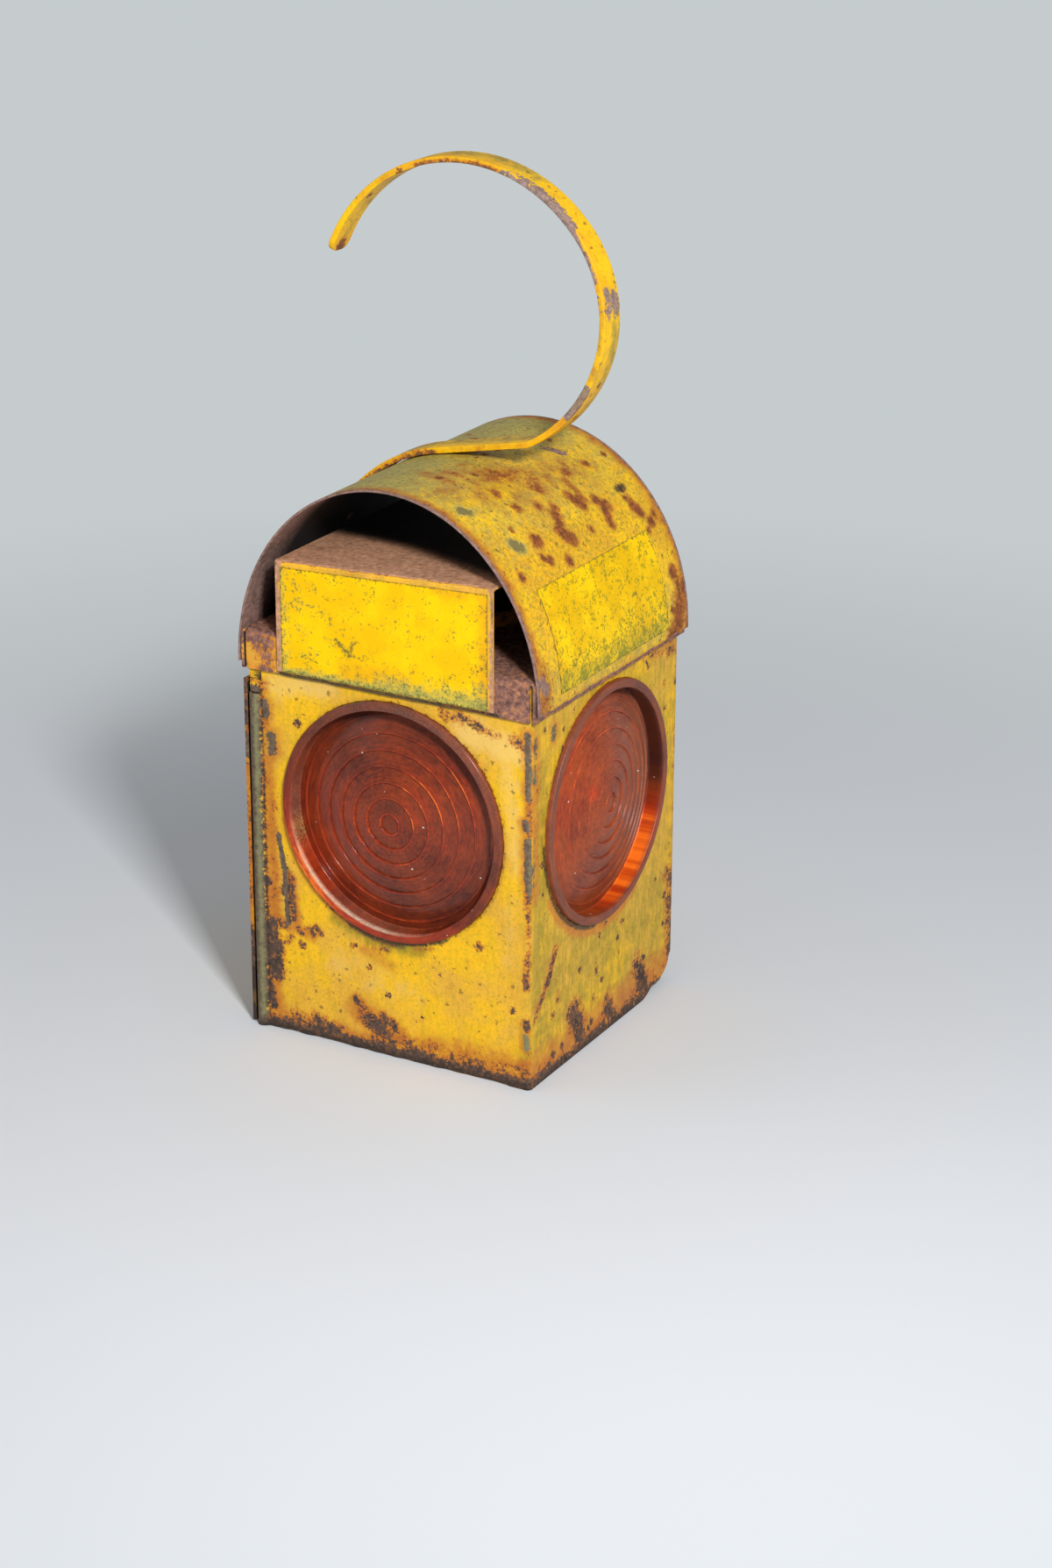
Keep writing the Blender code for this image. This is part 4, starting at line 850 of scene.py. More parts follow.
@dataclass
class Hood:
    """The arched cover over the draught baffle, mossy along its crest and spotted with rust on its flank."""

    sheet: float = 1.3 * MM
    film: float = 0.25 * MM
    skirt: float = 1.5 * MM
    around: int = 150
    along: int = 76
    rim: float = 0.3 * MM
    ragged: float = 0.35 * MM
    marks: tuple[Mark, ...] = tuple(lay({
        Wear.ALGAE: (
            (-15, -76, 290, -15, 76, 290, 72, 0.95), (-60, -76, 262, -60, 76, 262, 70, 0.75),
            (40, -76, 277, 40, 76, 277, 44, 0.34), (66, -70, 196, 66, 60, 196, 40, 0.5),
            (55.3, -50.1, 263.7, 57, -48, 262, 9, 1), (33.5, -61.5, 279.6, 35.5, -59.5, 278.6, 9, 1)),
        Wear.RUST: (
            (8, -40, 287, 34, 0, 280, 26, 0.4), (30, -36, 281, 40, 44, 276, 24, 0.34),
            (16, -64, 285.5, 22, -50, 284.5, 16, 0.3), (57.3, -33, 261.5, 7.9, 1),
            (58.5, -11, 260.2, 61.5, -7, 256.5, 8.4, 0.95), (52, -6, 266.5, 57.5, -9, 261.5, 7, 0.8),
            (64.3, -32.3, 252.9, 5.7, 0.95), (66.3, -18.8, 250, 6.6, 0.95),
            (64.6, -59.8, 252.5, 5.3, 0.95), (63, -36.5, 254.8, 4.8, 0.9),
            (57.2, 32.1, 261.7, 63.8, 29.7, 253.5, 6, 0.95), (54, 30, 265, 58, 36, 260.5, 6.5, 0.85),
            (54.7, 54.9, 264.3, 5.7, 0.9), (60.5, 55, 257.5, 64.5, 57.5, 252.8, 7.4, 0.9),
            (68, 63, 247.3, 6.6, 0.95), (66, 68, 250, 5.3, 0.9), (78.9, 65.8, 222.3, 7.9, 0.98),
            (80, 68, 216, 5.3, 0.9), (39.8, 46.2, 276.2, 7, 0.85), (39.1, 28.5, 276.6, 7, 0.85),
            (48, 14, 270.3, 54, 18, 265, 7, 0.85), (43, 22, 273.8, 52, 22, 266.8, 6.5, 0.7),
            (33.6, -29, 279.7, 6.6, 0.85), (43, -27.2, 274.1, 6.6, 0.85), (46.5, -12, 271.3, 6.2, 0.85),
            (50, -3, 268.7, 6.2, 0.85), (40.5, -1, 275.8, 7, 0.8), (62, 12, 255.8, 4.8, 0.85),
            (69.5, 57, 244.3, 4.8, 0.85), (24, -16, 283.9, 26, -6, 283, 10, 0.66),
            (83, 60, 190, 83, 74, 214, 15, 0.85), (83, -75, 190, 83, 75, 190, 5, 0.75),
            (82, -70, 196, 82, -68, 214, 11, 0.58)),
        Wear.GRIME_AND_SHADE: ((54.7, 52, 264.3, 54.7, 58, 264.3, 5, 0.9),),
        Wear.BARE: (
            (55.3, -50.1, 263.7, 57, -48, 262, 7.5, 0.85),
            (33.5, -61.5, 279.6, 35.5, -59.5, 278.6, 7, 0.85), (24, 38, 284, 30, 42, 281.6, 9, 0.7),
            (83.2, -75, 190.5, 83.2, 75, 190.5, 3, 0.9), (82.5, -72, 207, 82.5, -69, 204, 7.5, 0.9))
    }))

    def __post_init__(self) -> None:
        """Take the arch from the frame."""
        low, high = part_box("hood")
        self.half = high.x - self.sheet / 2
        self.spring = low.z + self.skirt
        self.rise = high.z - self.sheet / 2 - self.spring
        self.bottom = low.z
        self.front = low.y
        self.back = high.y

    def arch(self, degrees: float, offset: float = 0.0) -> tuple[Vector, Vector]:
        """Return a point (x, z) of the arch and its outward normal.

        Args:
            degrees: The angle from the crest to the left.
            offset: How far outside the sheet's middle the point lies.
        """
        angle = math.radians(degrees)
        point = Vector((-self.half * math.sin(angle), self.spring + self.rise * math.cos(angle)))
        normal = Vector((-math.sin(angle) / self.half, math.cos(angle) / self.rise)).normalized()
        return point + normal * offset, normal

    def build(self, finishes: Finishes) -> None:
        """Make the hood.

        Args:
            finishes: The materials.
        """
        outer, inner = self.sheet / 2 - self.film, -self.sheet / 2
        depth = self.back - self.front
        levels = [0.0, self.rim] + [depth * index / self.along for index in range(1, self.along)]
        levels += [depth - self.rim, depth]
        rows = []
        for level in levels:
            shrink = self.rim if level in (0.0, depth) else 0.0
            row = []
            for index in range(self.around + 1):
                degrees = 90 - 180 * index / self.around
                ends = (self.arch(degrees, outer - shrink)[0], self.arch(degrees, inner + shrink)[0])
                wavy = self.ragged * abs(noise.noise(Vector((degrees / 9, 0.0, 3.0)))) if shrink else 0.0
                y = self.front + level + (wavy if level == 0.0 else -wavy)
                point = tuple(Vector((end.x, y, end.y)) for end in ends)
                foot = tuple(Vector((end.x, y, self.bottom)) for end in ends)
                row += {0: [foot, point], self.around: [point, foot]}.get(index, [point])
            rows.append(row)
        piece = new_piece("hood_cover", thick_sheet(rows), finishes.hood_enamel, "lantern",
                          ["hood"])
        worn = WearMap(piece)
        worn.mark(self.marks)
        worn.edges(0.75, 10.0)
        mouth = np.minimum(worn.places[:, 1] - self.front, self.back - worn.places[:, 1])
        worn.fields[Wear.ALGAE][mouth < 0.4 * MM] = 0.0
        worn.lift(Wear.BARE, np.clip(1.35 - mouth / (2.2 * MM), 0.0, 1.0))
        worn.lift(Wear.RUST, 0.72 * np.clip(1.0 - mouth / (7.5 * MM), 0.0, 1.0))
        worn.lift(Wear.STAIN, 0.85 * np.clip(1.0 - mouth / (12 * MM), 0.0, 1.0))
        # The inside of the hood turns near-black from 9 mm behind its mouth: painted shade, and sooty.
        worn.inside((0, 0, 200), np.clip((mouth - 9 * MM) / (19 * MM), 0.0, 1.0) * 0.98)
        worn.write()


def lengths_along(points: Sequence[Vector]) -> np.ndarray:
    """Return how far along a line each of its points lies.

    Args:
        points: The line's points.
    """
    return np.concatenate([[0.0], np.cumsum([(b - a).length for a, b in zip(points, points[1:])])])


@dataclass
class Handle:
    """The flat bar on the hood's left flank, creased and bent into the open hook."""

    hood: Hood
    width: float = 15.4 * MM
    thick: float = 3.0 * MM
    tip: float = 5.0 * MM
    edge: float = 0.5 * MM
    clear: float = 0.3 * MM
    end_angle: float = 80.0
    leave_slope: float = 11.0
    run: float = 51.0 * MM
    bends: tuple[tuple[float, float], ...] = ((10.0, 17.3), (73.1, 43.1), (63.1, 58.2), (78.0, 119.6))
    station: float = 1.8 * MM
    flank_steps: int = 60

    def path(self) -> list[Vector]:
        """Return the bar's middle line in front view, one point for each station."""
        offset = self.hood.sheet / 2 + self.clear + self.thick / 2
        slope = math.tan(math.radians(self.leave_slope))
        leave = math.degrees(math.atan(slope * self.hood.half / self.hood.rise))
        points = [self.hood.arch(self.end_angle + (leave - self.end_angle) * index / self.flank_steps,
                                 offset)[0] for index in range(self.flank_steps + 1)]
        heading = math.radians(self.leave_slope)
        points.append(points[-1] + Vector((math.cos(heading), math.sin(heading))) * self.run)
        for radius, turn in self.bends:
            radius *= MM
            centre = points[-1] + Vector((-math.sin(heading), math.cos(heading))) * radius
            count = max(6, round(radius * math.radians(turn) / self.station))
            for index in range(1, count + 1):
                swung = heading + math.radians(turn) * index / count
                points.append(centre + Vector((math.sin(swung), -math.cos(swung))) * radius)
            heading += math.radians(turn)
        return points

    def stations(self) -> list[tuple[Vector, Vector, float]]:
        """Return each station's point, normal and half width."""
        points = self.path()
        lengths = lengths_along(points)
        even = np.linspace(0.0, lengths[-1], round(lengths[-1] / self.station) + 1)
        ends = self.tip * (1 - np.cos(np.linspace(0.0, math.pi / 2, 6)))
        inner = even[(even > self.tip) & (even < lengths[-1] - self.tip)]
        places = np.unique(np.concatenate([ends, lengths[-1] - ends, inner]))
        xs = np.interp(places, lengths, [p.x for p in points])
        zs = np.interp(places, lengths, [p.y for p in points])
        made = []
        for index, place in enumerate(places):
            after = min(index + 1, len(places) - 1)
            before = max(index - 1, 0)
            along = Vector((xs[after] - xs[before], zs[after] - zs[before])).normalized()
            near = min(place, lengths[-1] - place, self.tip)
            narrow = self.tip - math.sqrt(max(self.tip ** 2 - (self.tip - near) ** 2, 0.0))
            made.append((Vector((xs[index], zs[index])), Vector((-along.y, along.x)),
                         self.width / 2 - narrow))
        return made

    def build(self, finishes: Finishes) -> None:
        """Make the bar.

        Args:
            finishes: The materials.
        """
        mesh = bmesh.new()
        rings = []
        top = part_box("handle_strap")[1].z
        for point, normal, half in self.stations():
            places = [(point + normal * level, side) for side, level in self.section(half)]
            rings.append([mesh.verts.new((place.x, side, min(place.y, top))) for place, side in places])
        for before, after in zip(rings, rings[1:]):
            for place in range(len(before)):
                nearby = (place + 1) % len(before)
                mesh.faces.new((before[place], before[nearby], after[nearby], after[place]))
        mesh.faces.new(rings[0])
        mesh.faces.new(rings[-1])
        bmesh.ops.recalc_face_normals(mesh, faces=mesh.faces)
        mesh.normal_update()
        piece = new_piece("hook_handle", mesh, finishes.strap_enamel, "lantern",
                          ["handle_strap"], smooth=50)
        worn = WearMap(piece)
        worn.mark(self.worn_places())
        worn.write()

    def worn_places(self) -> list[Mark]:
        """Return the bar's worn places.

        Each row has its start and end along the bar from the tip, its place across the bar, its face (1 for
        the hook's outer one and -1 for the inner), its width and its strength.
        """
        rows = {
            Wear.ALGAE: ((86, 128, 3, 1, 11, 1), (2, 60, 2, -1, 9, 0.75), (206, 290, 4, 1, 11, 0.9),
                         (170, 200, 5, 1, 7, 0.6), (196, 250, -7.5, 0, 6, 0.6), (290, 372, 2, -1, 12, 0.95)),
            Wear.STAIN: ((196, 330, -7.5, 0, 5, 0.42), (30, 190, -7.6, 0, 4, 0.45)),
            Wear.BARE: ((118, 128, -6, 1, 7, 0.85), (128, 140, -6.6, 1, 8.5, 0.95),
                        (142, 158, -6.8, 1, 8.5, 1), (160, 186, -7.6, 1, 4.2, 0.9), (194, 202, -3, 1, 9, 1),
                        (194, 202, 4, 1, 9, 0.95), (239, 255, -7.7, 0, 6, 1)),
            Wear.RUST: ((70, 112, -7.5, 1, 4, 0.75), (0, 4, 0, 0, 8, 0.9), (100, 190, 7.6, 1, 4, 0.8),
                        (300, 440, 7.6, -1, 6, 0.8), (336, 420, -7.6, -1, 5, 0.72)),
        }
        points = self.path()[::-1]
        lengths = lengths_along(points)
        made = []
        for wear, group in rows.items():
            for start, end, across, face, width, strength in group:
                places = []
                for stop in np.linspace(start, end, max(2, round((end - start) / 6) + 1)):
                    index = int(np.clip(np.searchsorted(lengths, stop * MM), 1, len(points) - 1))
                    step = (points[index] - points[index - 1]).normalized()
                    place = Vector([np.interp(stop * MM, lengths, [point[axis] for point in points])
                                    for axis in (0, 1)])
                    place += Vector((step.y, -step.x)) * (face * self.thick / 2)
                    places.append((place.x / MM, across, place.y / MM))
                made += [Mark(wear, a, b, width, strength) for a, b in zip(places, places[1:])]
        return made

    def section(self, half: float) -> list[tuple[float, float]]:
        """Return the bar's rounded section as (across, level) points.

        Args:
            half: Half the bar's width.
        """
        level = self.thick / 2
        flat = half - self.edge
        corner = level - self.edge
        across = [flat * (1 - 2 * index / 6) for index in range(7)]
        turn = [(self.edge * math.sin(angle), self.edge * math.cos(angle))
                for angle in map(math.radians, (22.5, 45.0, 67.5))]
        points = [(y, level) for y in across]
        points += [(-flat - s, corner + c) for s, c in turn]
        points += [(-half, corner), (-half, 0.0), (-half, -corner)]
        points += [(-flat - c, -corner - s) for s, c in turn]
        points += [(-y, -level) for y in across]
        points += [(flat + s, -corner - c) for s, c in turn]
        points += [(half, -corner), (half, 0.0), (half, corner)]
        points += [(flat + c, corner + s) for s, c in turn]
        return points


def lobe(angle: np.ndarray, direction: float, reach: float) -> np.ndarray:
    """Return a soft value that is 1 in one direction and fades to 0 round it.

    Args:
        angle: Every point's direction in radians.
        direction: The direction in degrees.
        reach: How many degrees from it the value is 0.
    """
    turned = np.abs((angle - math.radians(direction) + math.pi) % math.tau - math.pi)
    near = np.clip(1.0 - turned / math.radians(reach), 0.0, 1.0)
    return near * near * (3.0 - 2.0 * near)


@dataclass
class Lens:
    """One dished moulding: a proud rim round a well with seven stepped rings and an eye."""

    side: str
    place: Vector
    facing: Vector
    radius: float = 61.0 * MM
    rim: float = 4.6 * MM
    proud: float = 2.5 * MM
    recess: float = 9.0 * MM
    disc: float = 3.0 * MM
    flange: float = 3.5 * MM
    flange_thick: float = 2.7 * MM
    seat: float = 1.5 * MM
    edge: float = 0.8 * MM
    rings: int = 7
    margin: float = 4.6 * MM
    step: float = 0.9 * MM
    soft: float = 0.35 * MM
    eye: float = 5.0 * MM
    swirl: float = 12.0 * MM
    dome: float = 8.6 * MM
    fillet: float = 1.2 * MM
    segments: int = 180

    def __post_init__(self) -> None:
        """Work out the rings."""
        self.inner = self.radius - self.rim
        self.floor = self.proud - self.recess
        self.pitch = (self.inner - self.margin - self.eye) / (self.rings - 1)

    def section(self) -> list[tuple[float, float]]:
        """Return the half-section from the back's centre round to the front's centre."""
        back = self.floor - self.disc
        low = -self.seat - self.flange_thick
        bowl = self.radius - self.edge
        quarter = [math.radians(90.0 * index / 4) for index in range(5)]
        points = [((self.inner - self.fillet) * index / 8, back) for index in range(9)]
        points += [(bowl - self.edge, back + 2 * self.edge), (bowl, low), (self.radius + self.flange, low),
                   (self.radius + self.flange, -self.seat), (self.radius, -self.seat)]
        points += [(bowl + self.edge * math.cos(angle), self.proud - self.edge + self.edge * math.sin(angle))
                   for angle in quarter]
        points.append((self.inner + self.edge + 0.4 * MM, self.proud))
        points += [(self.inner + self.edge - self.edge * math.sin(angle),
                    self.proud - self.edge + self.edge * math.cos(angle)) for angle in quarter]
        depth = self.recess - self.edge
        points += [(self.inner, self.proud - self.edge - depth * share) for share in (0.25, 0.5, 0.75)]
        points += [(self.inner - self.fillet + self.fillet * math.cos(angle),
                    self.floor + self.fillet - self.fillet * math.sin(angle)) for angle in quarter]
        for ring in range(self.rings - 1, -1, -1):
            radius = self.eye + ring * self.pitch
            points += [(radius + out * self.pitch, self.floor + up * self.step)
                       for out, up in ((0.62, 0.32), (0.33, 0.62), (0.30, 0.68), (0.27, 0.70))]
            points += [(radius + out * self.soft, self.floor + up * self.step)
                       for out, up in ((2, 0.92), (1, 1), (0, 0.96), (-0.3, 0.5), (-1, 0))]
        return points + [(0.5 * self.eye, self.floor + 0.3 * self.step), (0, self.floor + 0.6 * self.step)]

    def build(self, finishes: Finishes) -> None:
        """Make the lens.

        Args:
            finishes: The materials.
        """
        mesh = bmesh.new()
        verts = [mesh.verts.new((radius, 0.0, height)) for radius, height in self.section()]
        edges = [mesh.edges.new(pair) for pair in zip(verts, verts[1:])]
        bmesh.ops.spin(mesh, geom=verts + edges, cent=(0, 0, 0), axis=(0, 0, 1), angle=math.tau,
                       steps=self.segments, use_duplicate=False)
        bmesh.ops.remove_doubles(mesh, verts=mesh.verts, dist=1e-6)
        bmesh.ops.recalc_face_normals(mesh, faces=mesh.faces)
        for vert in mesh.verts:
            vert.co.z += float(self.rise(math.hypot(vert.co.x, vert.co.y)))
        across = Vector(UP).cross(self.facing)
        stand = Matrix((across, Vector(UP), self.facing)).transposed().to_4x4()
        mesh.transform(Matrix.Translation(self.place) @ stand)
        mesh.normal_update()
        piece = new_piece(f"ring_lens_{self.side}", mesh, finishes.acrylic[self.side], "lantern",
                          [f"lens_{self.side}"], smooth=55)
        worn = WearMap(piece)
        away = worn.places - np.array(self.place)
        right, up = away @ np.array(across), away[:, 2]
        self.tint(worn, right, up, away @ np.array(self.facing))
        worn.write()
        radius = np.maximum(np.hypot(right, up), 1e-6)
        turned = np.stack([radius, self.swirl * right / radius, self.swirl * up / radius], axis=1)
        layer = piece.data.attributes.new("turned", "FLOAT_VECTOR", "POINT")
        layer.data.foreach_set("vector", turned.astype(np.float32).ravel())

    def rise(self, radius: np.ndarray | float) -> np.ndarray:
        """Return how far the domed disc stands above the foot of the well.

        Args:
            radius: The distance from the lens's axis.
        """
        share = np.clip(radius / (self.inner - self.fillet), 0.0, 1.0)
        return self.dome * (1.0 - share * share)

    def tint(self, worn: WearMap, right: np.ndarray, up: np.ndarray, height: np.ndarray) -> None:
        """Lay dusting, darkening and painted light and shade over the moulding by place round it.

        Args:
            worn: The piece's wear fields.
            right: How far each point lies to the right of the middle as the lens is looked at.
            up: How far it lies above it.
            height: How far it stands out of the wall.
        """
        radius = np.hypot(right, up)
        height = height - self.rise(radius)
        angle = np.arctan2(up, right)
        toward = partial(lobe, angle)
        patchy = np.array([0.7 + 0.9 * noise.noise(Vector((a * 2.2, r * 300, 4.0)))
                           for a, r in zip(angle, radius)])
        outer = np.clip(radius / self.inner, 0.0, 1.0)
        top = height > self.proud - 1.2 * self.edge
        rim = (radius > self.inner - 0.2 * MM) & top
        lip = (np.abs(radius - self.inner - 0.3 * MM) < 0.55 * MM) & top
        well = (np.abs(radius - self.inner) < 1.4 * MM) & (height < self.proud - 0.5 * self.edge)
        well &= height > self.floor + 0.3 * MM
        foot = (np.abs(radius - self.inner + 1.4 * MM) < 1.0 * MM) & (height < self.floor + 1.0 * MM)
        floor = ~(rim | well)
        ring, second, slope = (np.zeros(len(radius)) for _ in range(3))
        for index in range(self.rings):
            out = radius - (self.eye + index * self.pitch)
            crest, flank = height > self.floor + 0.9 * self.step, height > self.floor + 0.4 * self.step
            ring[(np.abs(out - 0.15 * MM) < 0.3 * MM) & crest] = 1.0
            second[(np.abs(out - 0.30 * self.pitch) < 0.1 * MM) & ~crest] = 1.0
            slope[(out > -0.4 * MM) & (out < 0.35 * self.pitch) & flank] = 1.0
        if self.side == "front":
            lit = toward(34, 56) * np.clip(1.5 - outer, 0.0, 1.0)
            low = toward(-155, 60) * np.clip(1.3 - 2.6 * outer, 0.0, 1.0)
            line = np.clip(0.46 + 1.3 * lit + 0.9 * low + 0.1 * toward(-80, 120), 0, 1.0)
            smoke_and_shade = toward(105, 90) * np.clip((radius - 0.45 * self.inner) / (0.5 * self.inner), 0.0, 1.0)
            eye = np.clip(1.0 - np.abs(radius - 9 * MM) / (5 * MM), 0.0, 1.0)
            layers = {
                # Painted light: the ring crests, the lit step sides, the foot of the well on the right, the
                # lower-left floor and well, and the rim on the lower left are painted glowing, as if lit
                # through.
                Wear.GLOW: (ring * line * patchy,
                            second * 0.50 * patchy,
                            slope * np.clip(0.16 * lit, 0, 1) * patchy,
                            floor * 0.20 * toward(-165, 75) * outer,
                            foot * 0.8 * toward(25, 60) * patchy,
                            rim * (0.95 * toward(-142, 60) + 0.25 * toward(-80, 50)),
                            well * 0.25 * toward(-150, 60)),
                # The upper well wall is painted shade; the floor towards the top, round the eye and on the
                # lower right, and the rim at the top and right, are darkened.
                Wear.GRIME_AND_SHADE: (floor * 0.9 * smoke_and_shade * patchy,
                             floor * 0.30 * toward(-50, 80) * outer,
                             well * 0.7 * toward(120, 90) * patchy,
                             rim * (0.5 * toward(120, 110) + 0.3 * toward(-20, 60)),
                             0.8 * eye * toward(95, 80) * (1 - ring)),
                Wear.DUST_AND_GLINT: (rim * (0.02 + 0.12 * toward(60, 120)),
                            # A painted highlight: the pale glint along the lower-left inner lip.
                            lip * np.clip(2.0 * toward(-122, 62) * patchy, 0, 1),
                            well * (0.22 * toward(175, 50) * patchy + 0.14 * toward(-105, 45)),
                            floor * 0.03),
                Wear.ALGAE: (well * 0.5 * toward(-166, 26),)}
        else:
            glint = np.hypot(right + 16 * MM, up - 10 * MM)
            layers = {
                # Painted light: the lower-right well wall, the ring crests, the upper-left floor, the rim's
                # lower right and a glint on the floor are painted glowing.
                Wear.GLOW: (ring * np.clip(0.4 + 0.6 * toward(150, 100), 0, 1) * patchy,
                            well * np.clip(1.6 * toward(-52, 50), 0, 0.95),
                            rim * 0.3 * toward(-30, 40),
                            floor * 0.30 * toward(155, 90) * outer * patchy,
                            floor * 0.8 * np.clip(1 - glint / (6 * MM), 0, 1)),
                # Painted shade on the upper-right well wall; the lower floor and the rim are darkened.
                Wear.GRIME_AND_SHADE: (well * np.clip(3.0 * toward(32, 62), 0, 1),
                             floor * 0.4 * toward(-70, 70) * outer ** 2,
                             rim * 0.4),
                Wear.DUST_AND_GLINT: (floor * (0.06 + 0.42 * np.clip(right / self.inner, 0, 1)),
                            rim * (0.12 + 0.12 * toward(150, 130)))}
        for wear, values in layers.items():
            worn.lift(wear, *values)


@dataclass
class Cover:
    """The lid pan and the draught baffle under the hood."""

    pitch: float = 2.2 * MM
    film: float = 0.3 * MM
    ragged: float = 0.5 * MM
    lip: float = 57.0 * MM
    # Where the hood's cast shadow starts on the baffle's top, across and back in millimetres.
    shade_across: tuple[float, ...] = (-60, -49, -12, 17, 55)
    shade_start: tuple[float, ...] = (-29, -31, -36, -49, -68)
    lid_marks: tuple[Mark, ...] = (
        *lay({
            Wear.DUST_AND_GLINT: ((-78, -77, 200, -64, -77, 192, 12, 0.7),),
            Wear.GRIME_AND_SHADE: ((-58, -77, 188.2, 60, -77, 188.2, 4.2, 1),),
            Wear.ALGAE: ((-58, -77, 189.5, 30, -77, 189.5, 4, 1),),
            Wear.RUST: (
                (-76, -77, 205, -64, -77, 203, 6, 0.85), (-72, -77, 201, -66, -77, 196, 7, 0.6),
                (-70, -77, 188, -65, -77, 190, 6, 0.9), (-80, -77, 198, -62, -77, 194, 14, 0.15),
                (62, -77, 200, 80, -77, 192, 26, 1))
        }, FRONT),
        *lay({
            Wear.RUST: (
                (81, -70, 190, 81, -70, 205, 18, 0.7), (81, -70, 188, 81, 75, 188, 6, 0.8))
        }, RIGHT),
        *lay({
            Wear.RUST: ((-70, 0, 206, 70, 0, 206, 260, 1),)
        }, UP))
    baffle_marks: tuple[Mark, ...] = (
        *lay({
            Wear.BARE: (
                (-60, -78, 248, -60, -78, 190, 7, 1), (60, -78, 252, 60, -78, 190, 5, 1),
                (-24, -78, 248.5, -20, -78, 248, 4.5, 0.9), (8, -78, 249.5, 12, -78, 249, 4.5, 0.9))
        }, FRONT),
        *lay({
            Wear.BARE: ((-70, -20, 252, 70, -20, 252, 260, 1),)
        }, UP))

    def build(self, finishes: Finishes) -> None:
        """Make the lid and the baffle.

        Args:
            finishes: The materials.
        """
        mesh = fine_copy("lid_pan", self.pitch)
        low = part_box("lid_pan")[0]
        for vert in mesh.verts:
            if vert.co.z < low.z + 0.3 * MM:
                vert.co.z += self.ragged * max(0.0, noise.noise(vert.co / (8 * MM)) + 0.3)
        lid = new_piece("lid", mesh, finishes.lid_enamel, "lantern", ["lid_pan"])
        worn = WearMap(lid)
        worn.mark(self.lid_marks)
        worn.edges(0.5)
        # Inner faces go near-black: sooty, and in painted shade.
        worn.inside((0, 0, 100), 0.8)
        worn.write()

        mesh = fine_copy("draught_baffle", self.pitch)
        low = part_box("draught_baffle")[0]
        for vert in mesh.verts:
            if vert.co.y < low.y + 0.1 * MM:
                vert.co.y += self.film
        baffle = new_piece("baffle", mesh, finishes.baffle_enamel, "lantern",
                           ["draught_baffle"])
        worn = WearMap(baffle)
        worn.mark(self.baffle_marks)
        worn.edges(0.12, 9.0)
        across, back = worn.places[:, 0], worn.places[:, 1]
        upward = worn.normals[:, 2] > 0.5
        # Painted shadow: the baffle's top goes black behind the line where the hood's shadow falls on it.
        shade = np.interp(across / MM, self.shade_across, self.shade_start) * MM
        worn.lift(Wear.SOOT_AND_SHADE, 0.97 * np.clip((back - shade) / (9 * MM), 0.0, 1.0) * upward)
        worn.lift(Wear.RUST, 0.55 * np.clip(1.0 - (back - low.y) / (5 * MM), 0.0, 1.0) * upward)
        worn.fields[Wear.BARE][(back < low.y + 2 * self.film) & (np.abs(across) < self.lip)] *= 0.3
        # Inner faces go near-black: sooty, and in painted shade.
        worn.inside((0, 0, 215), 0.9)
        worn.write()


